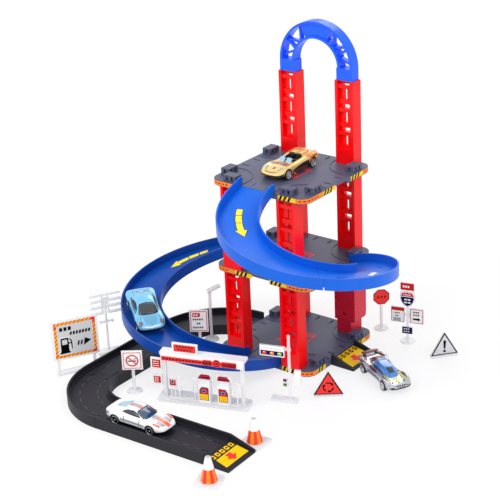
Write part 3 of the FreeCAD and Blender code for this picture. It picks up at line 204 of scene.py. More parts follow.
def dress_frame():
    dress("deck", [n for n in NODES if n.endswith("_deck")])
    dress("column", [n for n in NODES if "_column_" in n])
    # Painted shade: the thick ground column takes the darker, pinker copy of the column red
    dress("thick", ["ground_column_thick"])
    dress("arch", ["top_arch"])
    dress("ramp_high", ["upper_ramp_entry", "upper_ramp_exit"])
    # Painted shade: the lower ramps take the darker copy of the ramp blue
    dress("ramp_low", ["lower_ramp_entry", "lower_ramp_exit"])
    dress("road", [n for n in NODES if n.startswith("road_") or n == "deck_exit_ramp"])
    dress("trim", [n for n in NODES if n.endswith("_chassis")])
    milky = ["prohibition_sign", "parking_sign", "fuel_station_canopy", "fuel_station_pumps"]
    dress("milk", milky)
    dress("clear", [n for n, node in NODES.items() if n not in milky and node["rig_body"] in (
        "billboard", "floodlight_mast", "street_lamp", "traffic_light", "roundabout_sign", "warning_sign",
        "octagon_sign", "route_sign", "cone_1", "cone_2", "fuel_station")])


# Mesh helpers
def polar(radius, degrees, centre=(0.0, 0.0)):
    turn = math.radians(degrees)
    return (centre[0] + radius * math.cos(turn), centre[1] + radius * math.sin(turn))


def oval(cu, cv, ru, rv, sides=20):
    turns = [2 * math.pi * i / sides for i in range(sides)]
    return [(cu + ru * math.cos(t), cv + rv * math.sin(t)) for t in turns]


def box(u0, v0, u1, v1):
    return [(u0, v0), (u1, v0), (u1, v1), (u0, v1)]


def across(*half):
    """An outline that is the same on both sides of v = 0, from the points of one side."""
    return [(u, -v) for u, v in half] + [(u, v) for u, v in reversed(half) if v]


def pairs(items):
    """Each item with the next one, and the last with the first."""
    return list(zip(items, items[1:] + items[:1]))


def bridge(mesh, first, second, index=0, smooth=False):
    """A band of faces between two closed rings."""
    for (a, b), (c, d) in zip(pairs(first), pairs(second)):
        face = mesh.faces.new((a, b, d, c))
        face.material_index = index
        face.smooth = smooth


def prism(mesh, low, high, index=0):
    """A closed solid between two like outlines."""
    low = [mesh.verts.new(point) for point in low]
    high = [mesh.verts.new(point) for point in high]
    for cap in (low, high[::-1]):
        mesh.faces.new(cap).material_index = index
    bridge(mesh, low, high, index)


def link(data, name):
    item = bpy.data.objects.new(name, data)
    bpy.context.scene.collection.objects.link(item)
    return item


def data_of(mesh, name, tones=(), scale=MM):
    """Mesh data with outward normals and a material for each tone, in metres unless scaled otherwise."""
    bmesh.ops.recalc_face_normals(mesh, faces=mesh.faces)
    mesh.transform(Matrix.Scale(scale, 4))
    data = bpy.data.meshes.new(name)
    mesh.to_mesh(data)
    mesh.free()
    for tone in tones:
        data.materials.append(MAT[tone])
    return data


def add_piece(data, body, slot, matrix):
    piece = link(data, data.name)
    piece.matrix_world = matrix
    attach(piece, body)
    return piece


def placed(x, y, z, yaw, tilt=0.0):
    """The matrix of a plane whose u runs along yaw, whose v runs up and whose front faces -Y at yaw 0."""
    return (Matrix.Translation(Vector((x, y, z)) * MM) @ Matrix.Rotation(math.radians(yaw), 4, "Z")
            @ Matrix.Rotation(math.radians(tilt), 4, "X"))


class Sheet:
    """A mesh under way, with the tones of its faces."""

    def __init__(self, name):
        self.name = name
        self.mesh = bmesh.new()
        self.tones = []

    def index(self, tone):
        if tone not in self.tones:
            self.tones.append(tone)
        return self.tones.index(tone)

    def finish(self, body, matrix, slot):
        return add_piece(data_of(self.mesh, self.name, self.tones), body, slot, matrix)


class Print(Sheet):
    """Flat prints drawn as thin layers in a plane: u to the right, v up, each layer a little prouder."""

    def __init__(self, name, layer=0.12):
        super().__init__(name)
        self.layer = layer

    def shape(self, points, tone, level=1):
        """A closed prism on a 2-D outline, from the plane up to its level."""
        area = sum(a[0] * b[1] - b[0] * a[1] for a, b in pairs(points))
        ordered = points if area > 0 else points[::-1]
        front = [(u, -self.layer * level, v) for u, v in ordered]
        back = [(u, 0, v) for u, v in ordered]
        prism(self.mesh, front, back, self.index(tone))

    def rect(self, u0, v0, u1, v1, tone, level=1, radius=0.0):
        if radius <= 0:
            self.shape(box(u0, v0, u1, v1), tone, level)
            return
        corners = ((u1 - radius, v0 + radius, -90), (u1 - radius, v1 - radius, 0),
                   (u0 + radius, v1 - radius, 90), (u0 + radius, v0 + radius, 180))
        self.shape([polar(radius, start + step * 22.5, (cu, cv)) for cu, cv, start in corners
                    for step in range(5)], tone, level)

    def disc(self, cu, cv, radius, tone, level=1, sides=32, start=0.0):
        self.shape([polar(radius, start + 360 * i / sides, (cu, cv)) for i in range(sides)], tone, level)

    def bar(self, start, end, width, tone, level=1):
        a, b = Vector(start), Vector(end)
        along = (b - a).normalized() * (width / 2)
        side = Vector((-along.y, along.x))
        self.shape([tuple(a - side), tuple(b - side), tuple(b + side), tuple(a + side)], tone, level)

    def arc(self, cu, cv, inner, outer, start, end, tone, level=1, steps=16):
        """A stretch of ring drawn as a fan of quads."""
        turns = [start + (end - start) * i / steps for i in range(steps + 1)]
        for first, last in zip(turns, turns[1:]):
            self.shape([polar(r, t, (cu, cv)) for r, t in ((inner, first), (outer, first), (outer, last),
                                                           (inner, last))], tone, level)

    def dashes(self, u0, u1, v, height, tone, level, dash=1.8, gap=0.8, lean=0.0):
        """A row of plain dashes where a label has its words."""
        low, high = v - height / 2, v + height / 2
        at = u0
        while at + dash <= u1 + 0.01:
            end = at + dash
            self.shape([(at, low), (end, low), (end + lean, high), (at + lean, high)], tone, level)
            at += dash + gap

    def stick(self, sign, front):
        """Puts the print on a sign's face, this far in front of the sign's middle."""
        x, y, yaw = PLACES[sign]
        face = placed(x, y, 0, yaw) @ Matrix.Translation(Vector((0, (front - 0.02) * MM, 0)))
        self.finish(sign, face, "sign_clear")


# Ways to look at a surface: where a ray for (u, v) starts and which way it goes
VIEWS = {
    "top": lambda u, v: ((u, v, 40.0), (0, 0, -1)),
    "side": lambda u, v: ((u, 30.0, v), (0, -1, 0)),
    "front": lambda u, v: ((60.0, u, v), (-1, 0, 0)),
    "back": lambda u, v: ((-60.0, u, v), (1, 0, 0)),
    "high": lambda u, v: ((u, v, 400.0), (0, 0, -1)),
}


class Skin(Sheet):
    """Thin patches that follow a curved surface."""

    def __init__(self, name, trees):
        super().__init__(name)
        self.trees = trees

    def hit(self, start, way):
        """The nearest spot on the surfaces along a ray, with the normal that faces it."""
        hits = [tree.ray_cast(start, way) for tree in self.trees]
        hits = [found for found in hits if found[0] is not None]
        if not hits:
            return None, None
        spot, normal, _, _ = min(hits, key=lambda found: found[3])
        return spot, -normal if normal.dot(way) > 0 else normal

    def patch(self, view, tone, lift, outline):
        """Lays an outline on the surface, a side view on both sides and a pair on both halves of the top."""
        if view == "pair":
            self.lay("top", tone, lift, outline)
            self.lay("top", tone, lift, [(u, -v) for u, v in reversed(outline)])
        else:
            self.lay(view, tone, lift, outline)
            if view == "side":
                self.lay(view, tone, lift, outline, -1)

    def lay(self, view, tone, lift, outline, side=1):
        flat = bmesh.new()
        flat.faces.new([flat.verts.new((u, v, 0)) for u, v in outline])
        for axis in range(2):
            at = min(point[axis] for point in outline) + SKIN_STEP
            end = max(point[axis] for point in outline) - 0.2 * SKIN_STEP
            while at < end:
                spot = [0, 0, 0]
                way = [0, 0, 0]
                spot[axis] = at
                way[axis] = 1
                bmesh.ops.bisect_plane(flat, geom=flat.verts[:] + flat.edges[:] + flat.faces[:],
                                       plane_co=spot, plane_no=way)
                at += SKIN_STEP
        flat.verts.index_update()
        index = self.index(tone)
        tops = {}
        bottoms = {}
        for vert in flat.verts:
            start, way = [Vector((p[0], side * p[1], p[2])) for p in VIEWS[view](vert.co.x, vert.co.y)]
            spot, normal = self.hit(start, way)
            if spot is not None:
                tops[vert.index] = self.mesh.verts.new(spot + normal * lift)
                bottoms[vert.index] = self.mesh.verts.new(spot + normal * (lift - SKIN_DEPTH))
        used = {}
        for face in flat.faces:
            ids = [vert.index for vert in face.verts]
            if all(i in tops for i in ids):
                for layer in ([tops[i] for i in ids], [bottoms[i] for i in reversed(ids)]):
                    made = self.mesh.faces.new(layer)
                    made.material_index = index
                    made.smooth = True
                used.update({edge: True for edge in pairs(ids)})
        for i, j in used:
            if (j, i) not in used:
                made = self.mesh.faces.new((tops[i], bottoms[i], bottoms[j], tops[j]))
                made.material_index = index
        flat.free()

    def finish(self, body, matrix, slot):
        loose = [vert for vert in self.mesh.verts if not vert.link_faces]
        bmesh.ops.delete(self.mesh, geom=loose, context="VERTS")
        return super().finish(body, matrix, slot)


# Stickers on the deck edges
def rim_point(distance, out):
    """A point beside the deck's outline, counted from the middle of the -Y edge."""
    turns, along = divmod(distance + DECK_STRAIGHT / 2, DECK_QUARTER)
    if along <= DECK_STRAIGHT:
        local = Vector((along - DECK_STRAIGHT / 2, -DECK_HALF - out, 0))
    else:
        turn = (along - DECK_STRAIGHT) / DECK_CORNER
        local = (Vector((DECK_STRAIGHT / 2, -DECK_STRAIGHT / 2, 0))
                 + Vector((math.sin(turn), -math.cos(turn), 0)) * (DECK_CORNER + out))
    return Matrix.Rotation(turns * math.pi / 2, 3, "Z") @ local


def rim_strip(sticker, start, end, low, high, lean, tone, level):
    """A strip that follows the deck's outline; lean slides its top edge along for diagonal stripes."""
    steps = max(1, int((end - start) / 2.0))
    index = sticker.index(tone)
    mesh = sticker.mesh
    rows = []
    for i in range(steps + 1):
        distance = start + (end - start) * i / steps
        row = []
        for height, slide, out in ((low, 0.0, 0), (low, 0.0, level), (high, lean, level), (high, lean, 0)):
            point = rim_point(distance + slide, 0.02 + sticker.layer * out)
            row.append(mesh.verts.new((point.x, point.y, height)))
        rows.append(row)
    for first, second in zip(rows, rows[1:]):
        bridge(mesh, first, second, index)
    for row in (rows[0], rows[-1]):
        mesh.faces.new(row).material_index = index


def hazard(sticker, start, end, low, high):
    """Black bands on yellow."""
    pitch = 5.2
    rim_strip(sticker, start, end, low, high, 0.0, "yellow", 1)
    for i in range(int((end - start - 2.4) / pitch)):
        at = start + 1.0 + i * pitch
        rim_strip(sticker, at, at + 2.5, low, high, 2.2, "black", 2)


def label_band(sticker, start, end, low, high):
    """An orange label with a row of plain dashes."""
    inset = 2.5
    step = 4.6
    middle = (low + high) / 2
    rim_strip(sticker, start, end, low, high, 0.0, "orange", 1)
    for i in range(int((end - start - 2 * inset) / step)):
        at = start + inset + i * step
        rim_strip(sticker, at, at + 2.9, middle - 0.8, middle + 0.8, 0.0, "red", 2)


# Where the labels begin and end along the rim, from the corner's middle, on the decks that differ
LABELS = {("top", 0): (-8, 28), ("top", 3): (-12, 27), ("middle", 0): (-23, 7), ("middle", 3): (-12, 25),
          ("ground", 0): (-10.5, 10.5)}


def deck_stickers():
    low = 0.7
    high = DECK_THICKNESS - 0.7
    reach = 22.4
    for storey, name in enumerate(("ground", "middle", "top")):
        sticker = Print(name + "_deck_stickers")
        for corner in range(4):
            middle = DECK_QUARTER * (corner + 0.5)
            first, last = [middle + end for end in LABELS.get((name, corner), (-15, 15))]
            label_band(sticker, first, last, low, high)
            hazard(sticker, first - reach, first - 0.4, low, high)
            hazard(sticker, last + 0.4, last + (15.4 if name == "ground" else reach), low, high)
        sticker.finish("garage", Matrix.Translation((0, 0, storey * STOREY * MM)), "deck_grey")
        centre_mark(name, storey * STOREY + DECK_THICKNESS)


def centre_mark(name, height):
    """A square printed frame in the middle of a deck with a pale field and a plain arrow head."""
    mark = Print(name + "_deck_centre_mark", layer=0.1)
    mark.rect(-16, -16, 16, 16, "bright_red", 1, 1.5)
    mark.rect(-14.6, -14.6, 14.6, 14.6, "deck", 2, 1.0)
    for row in range(-4, 5):
        for v in (-13, 8.4):
            mark.rect(row * 3.3 - 0.9, v, row * 3.3 + 0.9, v + 4.6, "bright_red", 3)
    mark.shape([(-13.6, -6.4), (13.6, -6.4), (0, 7.4)], "bright_red", 3)
    mark.shape([(-9.6, -4.8), (9.6, -4.8), (0, 4.9)], "grey", 4)
    mark.finish("garage", placed(0, 0, height + 0.02, 0, -90), "deck_grey")


# Stations of x, half width, underside, shoulder height and crown height
HULLS = {
    "gold_car": [(-36, 10.2, 6.4, 12.2, 12.8), (-34, 12.6, 5.4, 13.8, 14.2), (-29, 14.4, 4.8, 15, 15),
                 (-21.5, 15, 4.4, 15.4, 15.2), (-14, 14.6, 3.8, 13.6, 14), (-4, 13.6, 3.2, 12.4, 13.2),
                 (6, 13.6, 3.2, 12, 12.8), (14, 14.4, 3.4, 12.8, 12.6), (21.5, 15, 4, 13.2, 12.2),
                 (28, 14.2, 4, 11.6, 11), (33, 12, 4.2, 9.2, 9.2), (36, 8.4, 4.8, 7.2, 7.4)],
    "blue_coupe": [(-32, 12, 6.4, 12.6, 13.2), (-30.4, 14.2, 5.4, 14, 14.4), (-27, 15.8, 4.8, 15, 15.4),
                   (-21.5, 16.2, 4.4, 15, 15.6), (-14, 15.2, 3.8, 13.8, 14.4), (-4, 14.6, 3.2, 13, 13.6),
                   (6, 14.6, 3.2, 12.8, 13.4), (14, 15.2, 3.4, 13.2, 13.4), (21.5, 15.8, 4, 13.2, 13.2),
                   (26, 14.6, 4, 12, 12.2), (29, 12.4, 4.2, 10, 10.2), (31.2, 8.6, 4.6, 7.6, 7.8)],
    "white_coupe": [(-36, 10.6, 6.4, 12.2, 12.8), (-33.5, 13, 5.4, 13.8, 14.2), (-28, 14.6, 4.8, 14.8, 14.8),
                    (-21.5, 15, 4.4, 15.2, 15), (-14, 14.6, 3.8, 13.8, 14), (-4, 14, 3.2, 13, 13.4),
                    (6, 14, 3.2, 12.4, 13), (14, 14.4, 3.4, 12.8, 12.8), (21.5, 15, 4, 13, 12.4),
                    (28, 14.2, 4, 11.2, 11), (33, 12, 4.2, 8.8, 9.2), (36, 8.6, 4.8, 6.8, 7.2)],
    "silver_car": [(-36, 9.6, 6.4, 13.2, 13.4), (-33.5, 12.6, 5.4, 15, 14.4), (-28, 14.6, 4.8, 16, 14.4),
                   (-21.5, 15, 4.4, 15.6, 13.6), (-13, 13.2, 3.4, 12.8, 12.6), (-4, 12.4, 3, 11.4, 12.2),
                   (6, 12.4, 3, 11.2, 11.8), (14, 13.8, 3.2, 12.6, 11.4), (21.5, 15, 4, 13.4, 10.8),
                   (28, 14.4, 4, 11.8, 9.8), (33, 12, 4, 9, 8.4), (36, 8, 4.4, 6.8, 7)],
}
# Stations of x, waist half width, waist height, roof half width and roof height
CABINS = {
    "blue_coupe": [(-26.5, 10.8, 14, 7.2, 14.6), (-21, 12, 13.8, 8.2, 16.8), (-14, 12.8, 13.2, 8.8, 19),
                   (-5, 12.9, 12.8, 9, 19.8), (2, 12.8, 12.6, 9, 19), (9, 12.3, 12.4, 9.2, 16),
                   (15.5, 11.4, 12.4, 9.4, 13)],
    "white_coupe": [(-29, 10, 13.8, 6.6, 14.4), (-22, 11.2, 13.6, 7.6, 16.4), (-14, 12, 13.2, 8.4, 18.4),
                    (-5, 12.3, 13, 8.8, 19.4), (1, 12.2, 12.6, 8.8, 18.8), (8, 11.8, 12.4, 9, 16),
                    (16, 11, 12, 9.2, 12.6)],
    "silver_car": [(-24, 6, 13, 4.2, 14.4), (-17, 8, 12.6, 5.6, 17.4), (-8, 9.4, 12, 6.6, 19),
                   (2, 9.6, 11.6, 6.8, 18.6), (12, 8.6, 11, 6, 15.6), (20.5, 6.6, 10.4, 4.6, 11.6)],
}


def hull_rows(stations):
    return [(x, [(0.86 * half, low), (0.985 * half, low + 1.0), (half, 0.5 * (low + shoulder)),
                 (0.985 * half, shoulder - 1.6), (0.9 * half, shoulder),
                 (0.66 * half, 0.4 * shoulder + 0.6 * crown), (0.36 * half, crown), (0, crown)])
            for x, half, low, shoulder, crown in stations]


def cabin_rows(stations):
    return [(x, [(wide, waist - 2.4), (wide, waist), (0.45 * wide + 0.55 * narrow, 0.4 * waist + 0.6 * roof),
                 (narrow, roof - 0.5), (0.72 * narrow, roof), (0.36 * narrow, roof + 0.2), (0, roof + 0.25)])
            for x, wide, waist, narrow, roof in stations]


def baked(carrier):
    """The mesh of an object with its modifiers applied, without the object."""
    bpy.context.view_layer.update()
    evaluated = carrier.evaluated_get(bpy.context.evaluated_depsgraph_get())
    result = bpy.data.meshes.new_from_object(evaluated)
    bpy.data.objects.remove(carrier)
    return result


def smoothed(rows):
    """A smooth closed solid from cross-sections of (y, z) points on the right side of each station."""
    mesh = bmesh.new()
    rings = []
    for x, right in rows:
        outline = [(-y, z) for y, z in right] + [(y, z) for y, z in reversed(right) if y > 0]
        rings.append([mesh.verts.new((x, y, z)) for y, z in outline])
    for first, second in zip(rings, rings[1:]):
        bridge(mesh, first, second)
    mesh.faces.new(rings[0][::-1])
    mesh.faces.new(rings[-1])
    carrier = link(data_of(mesh, "cage", scale=1.0), "cage")
    modifier = carrier.modifiers.new("smooth", "SUBSURF")
    modifier.levels = modifier.render_levels = 2
    return baked(carrier)


def carved(data, tools):
    """Cuts tool meshes out of a mesh with exact booleans."""
    carrier = link(data, "carved")
    helpers = [link(tool, "tool") for tool in tools]
    for helper in helpers:
        helper.hide_render = True
        modifier = carrier.modifiers.new("cut", "BOOLEAN")
        modifier.operation = "DIFFERENCE"
        modifier.solver = "EXACT"
        modifier.object = helper
    result = baked(carrier)
    for helper in helpers:
        bpy.data.objects.remove(helper)
    return result


def drum(x, y0, y1, radius, sides=40):
    """A closed cylinder along Y, at the height of the axles."""
    mesh = bmesh.new()
    ring = oval(x, WHEEL_RADIUS, radius, radius, sides)
    prism(mesh, [(u, y0, v) for u, v in ring], [(u, y1, v) for u, v in ring])
    return data_of(mesh, "drum", scale=1.0)


def block(points, z0, z1, corner=0.0):
    """A closed prism on an (x, y) outline, with rounded edges where it has a corner size."""
    mesh = bmesh.new()
    prism(mesh, [(x, y, z0) for x, y in points], [(x, y, z1) for x, y in points])
    bmesh.ops.recalc_face_normals(mesh, faces=mesh.faces)
    if corner:
        bmesh.ops.bevel(mesh, geom=mesh.edges[:], offset=corner, segments=3, affect="EDGES", profile=0.5)
    return data_of(mesh, "block", scale=1.0)


def screen(corners, thickness, bulge, steps=6):
    """A thin closed sheet between four corners, bowed along its normal."""
    mesh = bmesh.new()
    a, b, c, d = [Vector(corner) for corner in corners]
    normal = (b - a).cross(d - a).normalized()
    layers = []
    for depth in (0.0, thickness):
        grid = []
        for i in range(steps + 1):
            s = i / steps
            bow = normal * (bulge * 4 * s * (1 - s) - depth)
            grid.append([mesh.verts.new((a * (1 - s) + b * s) * (1 - t) + (d * (1 - s) + c * s) * t + bow)
                         for t in [j / steps for j in range(steps + 1)]])
        layers.append(grid)
    top, under = layers
    for i in range(steps):
        for j in range(steps):
            for grid in layers:
                mesh.faces.new((grid[i][j], grid[i + 1][j], grid[i + 1][j + 1], grid[i][j + 1]))
        for rim in (0, steps):
            mesh.faces.new((top[i][rim], top[i + 1][rim], under[i + 1][rim], under[i][rim]))
            mesh.faces.new((top[rim][i], top[rim][i + 1], under[rim][i + 1], under[rim][i]))
    return data_of(mesh, "screen", scale=1.0)


def torus(place, radius, tube, sides=24, facets=8):
    mesh = bmesh.new()
    rings = []
    for i in range(sides):
        a = 2 * math.pi * i / sides
        reaches = oval(radius, 0, tube, tube, facets)
        rings.append([mesh.verts.new(place @ Vector((reach * math.cos(a), reach * math.sin(a), height)))
                      for reach, height in reaches])
    for first, second in pairs(rings):
        bridge(mesh, first, second, smooth=True)
    return data_of(mesh, "torus", scale=1.0)


def lathe(mesh, profile, centre, index, sides=40):
    """Spins (radius, y) points round the wheel's axis, as a closed ring of faces."""
    rings = []
    for i in range(sides):
        turn = 2 * math.pi * i / sides
        rings.append([mesh.verts.new((radius * math.cos(turn), centre + y, radius * math.sin(turn)))
                      for radius, y in profile])
    for first, second in pairs(rings):
        bridge(mesh, first, second, index, smooth=True)


def car_tools():
    """Wheel spaces and the pocket for chassis and axles."""
    tools = []
    for x in (-WHEELBASE / 2, WHEELBASE / 2):
        for side in (-1, 1):
            tools.append(drum(x, side * (TRACK_HALF - WHEEL_WIDTH - 1.0), side * 22.0, WHEEL_RADIUS + 0.95))
        tools.append(drum(x, -20.0, 20.0, 1.6, 20))
    return tools + [block(box(-27.6, -10.1, 27.6, 10.1), -1.0, 9.8)]


class Car:
    """A car in its own millimetres: nose along X, wheels standing on Z = 0, place from its two axles."""

    def __init__(self, name, paint, slot, holes=()):
        self.name = name
        self.paint = paint
        self.slot = slot
        front, rear = [Vector(JOINTS[name + end]["pos_m"]) for end in ("_front_axle", "_rear_axle")]
        ahead = (front - rear).normalized()
        left = Vector(JOINTS[name + "_front_axle"]["axis"]).normalized()
        up = ahead.cross(left)
        middle = (front + rear) / 2 - up * WHEEL_RADIUS * MM
        self.matrix = Matrix.Translation(middle) @ Matrix((ahead, left, up)).transposed().to_4x4()
        self.trees = []
        hull = smoothed(hull_rows(HULLS[name]))
        self.shell("_shell", hull, car_tools() + list(holes), paint, slot, "_casting")

    def add(self, suffix, data, tone, slot, angle=40.0):
        """A finished piece, smooth except across sharp edges; with no tone it keeps its materials."""
        if tone:
            data.materials.clear()
            data.materials.append(MAT[tone])
        data.name = self.name + suffix
        data.transform(Matrix.Scale(MM, 4))
        for polygon in data.polygons:
            polygon.use_smooth = True
        data.set_sharp_from_angle(angle=math.radians(angle))
        return add_piece(data, self.name, slot, self.matrix)

    def shell(self, suffix, data, tools, tone, slot, node=None):
        """A painted shell whose cut faces are black. It is kept as a surface for prints."""
        for tool in tools:
            for _ in range(2):
                tool.materials.append(MAT["trim"])
            for polygon in tool.polygons:
                polygon.material_index = 1
        data.materials.clear()
        for each in (tone, "trim"):
            data.materials.append(MAT[each])
        data = carved(data, tools)
        surface = bmesh.new()
        surface.from_mesh(data)
        self.trees.append(BVHTree.FromBMesh(surface))
        surface.free()
        piece = self.add(suffix, data, None, slot, 35.0)
        if node:
            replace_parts(piece, self.name + node)

    def cabin(self, suffix, tone, slot, node=None):
        self.shell(suffix, smoothed(cabin_rows(CABINS[self.name])), [], tone, slot, node)

    def lay(self, suffix, slot, trees, rows):
        skin = Skin(self.name + suffix, trees)
        for row in rows:
            skin.patch(*row)
        return skin.finish(self.name, self.matrix, slot)

    def glass(self, rows):
        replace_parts(self.lay("_glass", "window_tint", self.trees[1:], rows), self.name + "_windows")

    def prints(self, rows):
        self.lay("_prints", self.slot, self.trees, rows)

    def wheels(self, rim):
        """Two axles with two spoked wheels each: tyre, rim ring, hub and spokes on each outer side."""
        half = WHEEL_WIDTH / 2
        for where, sign in (("front", 1), ("rear", -1)):
            mesh = bmesh.new()
            for side in (-1, 1):
                middle = side * (TRACK_HALF - half)
                face = (half - 0.15) * side
                tread = half - 1.1
                bead = half - 0.5
                lathe(mesh, [(4.2, -half * side), (4.6, -half * side), (WHEEL_RADIUS - 0.12, -bead * side),
                             (WHEEL_RADIUS, -tread * side), (WHEEL_RADIUS, tread * side),
                             (WHEEL_RADIUS - 0.12, bead * side), (4.75, half * side), (4.35, half * side),
                             (4.25, bead * side)], middle, 0)
                lathe(mesh, [(4.22, face - 1.4 * side), (4.22, face - 0.3 * side), (4.1, face), (3.65, face),
                             (3.5, face - 0.5 * side), (3.5, face - 1.4 * side)], middle, 1)
                lathe(mesh, [(0.01, face - 1.6 * side), (1.05, face - 1.6 * side), (1.05, face - 0.5 * side),
                             (0.7, face - 0.2 * side), (0.01, face - 0.15 * side)], middle, 1, 20)
                lathe(mesh, [(0.01, -half * side), (4.2, -half * side), (4.2, face - 1.7 * side),
                             (0.01, face - 1.7 * side)], middle, 2)
                near = middle + face - 1.1 * side
                far = middle + face - 0.35 * side
                for i in range(5):
                    along = Vector(polar(1.0, 72 * i))
                    spoke = [along * reach + Vector((-along.y, along.x)) * offset
                             for reach, offset in ((0.6, -0.6), (3.7, -0.95), (3.7, 0.95), (0.6, 0.6))]
                    prism(mesh, [(p.x, near, p.y) for p in spoke], [(p.x, far, p.y) for p in spoke], 3)
            end = TRACK_HALF - 4
            lathe(mesh, [(0.01, -end), (0.8, -end), (0.8, end), (0.01, end)], 0.0, 1, 16)
            bmesh.ops.remove_doubles(mesh, verts=mesh.verts, dist=0.0005)
            node = "%s_%s_wheels" % (self.name, where)
            data = data_of(mesh, node + "_detail", ("tyre", "chrome", "trim", rim))
            place = self.matrix @ Matrix.Translation(Vector((sign * WHEELBASE / 2, 0, WHEEL_RADIUS)) * MM)
            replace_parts(add_piece(data, node + "_body", "wheel_black", place), node)


def skirts(top):
    """Black lower edges of the body between and beyond the wheels."""
    return [("side", "trim", 0.1, box(first, 3.4, last, top))
            for first, last in ((-14.6, 14.6), (28.2, 30.4), (-30.8, -28.2))]


def white_coupe():
    car = Car("white_coupe", "pearl", "white_paint")
    car.cabin("_roof", "pearl", "white_paint")
    car.glass([
        ("top", "trim", 0.1, across((2.2, 7.8), (8, 9.9), (13.6, 10.4), (15.4, 5), (15.8, 0))),
        ("top", "tint_blue", 0.22, across((3.2, 7.0), (8, 8.9), (13.0, 9.4), (14.6, 4.6), (14.9, 0))),
        ("side", "trim", 0.12, [(-14.4, 14.9), (8.6, 13.7), (4.6, 16.6), (-1, 18.3), (-8, 18.0),
                                (-12.4, 16.4)]),
        ("side", "tint", 0.24, [(-12.6, 15.3), (7.2, 14.2), (3.6, 16.4), (-1.4, 17.7), (-7.6, 17.4),
                                (-11.2, 16.2)]),
        ("top", "ice", 0.16, across((-24.6, 5.0), (-12.6, 6.6), (-11.8, 0)) + [(-25.6, 0)]),
    ])
    car.prints([
        ("top", "flame", 0.1, across((15.6, 2.6), (35.0, 2.4))),
        ("top", "ash", 0.2, box(16, -2.6, 21, 2.6)),
        ("top", "flame", 0.1, box(-11.4, -2.8, 1.6, 2.8)),
        ("top", "ash", 0.2, box(-8.4, -2.8, -1.6, 2.8)),
        ("pair", "ash", 0.12, [(24, 3.6), (33, 3.4), (31.4, 7.6), (25, 8.2)]),
        ("pair", "flame", 0.12, [(22.5, 10.2), (30.4, 8.6), (30.8, 11.0), (24.4, 12.6)]),
        ("pair", "ash", 0.12, box(16.8, 3.5, 23, 4.1)),
        ("side", "ash", 0.12, [(-35, 8.4), (-28.5, 10.6), (-28, 13.2), (-34.6, 12.0)]),
        ("side", "ash", 0.12, [(-14.5, 7.6), (14, 7.2), (14.4, 9.2), (-14.6, 9.8)]),
        ("side", "trim", 0.2, box(-10.4, 7.0, -9.9, 12.6)),
        ("side", "trim", 0.2, box(8.0, 6.6, 8.5, 12.4)),
        ("front", "trim", 0.15, [(-13, 4.2), (13, 4.2), (11.6, 5.8), (-11.6, 5.8)]),
    ] + skirts(5.2) + [("back", "lamp_red", 0.15, box(u, 8.6, u + 4, 10.6)) for u in (-9, 5)])
    car.wheels("rim_dark")


def blue_coupe():
    car = Car("blue_coupe", "aqua", "blue_paint")
    car.cabin("_roof", "aqua", "blue_paint")
    car.glass([
        ("top", "trim", 0.1, across((1.6, 7.4), (4.4, 8.8), (11.6, 10.4), (14.0, 9.4), (14.8, 4), (14.9, 0))
         + [(0.6, 0)]),
        ("top", "tint", 0.22, across((2.8, 6.8), (5.2, 8.0), (11.2, 9.3), (13.0, 8.4), (13.8, 4), (13.9, 0))
         + [(1.9, 0)]),
        ("side", "trim", 0.14, [(-12.8, 14.8), (7.4, 14.0), (3.4, 16.6), (-2, 18.0), (-9, 17.2)]),
    ])
    rows = []
    for row in range(-4, 5):
        v = row * 1.7
        end = 28.6 - 0.05 * v * v
        groove = [(16.2, v - 0.22), (end, 0.8 * v - 0.18), (end, 0.8 * v + 0.18), (16.2, v + 0.22)]
        rows.append(("top", "aqua_shade", 0.12, groove))
    rows += [
        ("pair", "aqua_shade", 0.12, [(15.4, 9.4), (21, 10.8), (27.8, 9.0), (27.6, 8.5), (21, 10.2),
                                      (15.4, 8.8)]),
        ("pair", "aqua_shade", 0.1, oval(25.6, 11.6, 2.6, 1.9)),
        ("pair", "lamp", 0.22, oval(25.6, 11.6, 2.1, 1.5)),
        ("pair", "aqua_shade", 0.12, [(16.0, 12.6), (23, 13.4), (23, 13.8), (16.0, 13.0)]),
        ("top", "pearl", 0.14, across((28.4, 10.2), (30.2, 6.4), (30.9, 0)) + [(29.2, 6.2), (29.8, 0),
                                                                              (29.2, -6.2)]),
    ]
    for v in (-4.2, 4.2):
        for half, tone, lift in ((2.5, "aqua_shade", 0.1), (1.9, "pearl", 0.18), (1.2, "tint", 0.26)):
            rows.append(("top", tone, lift, box(-22.2 - half, v - half, -22.2 + half, v + half)))
        rows.append(("top", "tint", 0.14, oval(-17.6, v / 3, 0.6, 0.6, 12)))
    rows += [
        ("pair", "aqua_shade", 0.12, [(-28, 8.6), (-14, 9.1), (-14, 8.6), (-28, 8.1)]),
        ("pair", "aqua_shade", 0.12, [(-17, 10.8), (2, 12.0), (9, 12.0), (9, 13.2), (-6, 13.6),
                                      (-16.4, 12.6)]),
        ("pair", "tint", 0.2, [(-16, 11.2), (-7.4, 12.4), (-7.4, 13.2), (-15.4, 12.6)]),
        ("side", "aqua_shade", 0.1, [(-12.4, 7.0), (12.6, 6.6), (14, 8.6), (-13.6, 9.2)]),
    ]
    rows += skirts(5.8) + [
        ("side", "tint", 0.14, [(-15.6, 9.6), (-9.6, 10.2), (-10.4, 12.2), (-16, 12.4)]),
        ("front", "trim", 0.15, [(-14, 4.0), (14, 4.0), (13.4, 7.0), (0, 7.2), (-13.4, 7.0)]),
    ]
    rows += [("back", "lamp_red", 0.15, oval(v, 10.2, 1.7, 1.2)) for v in (-6.5, 6.5)]
    car.prints(rows)
    car.wheels("rim_dark")


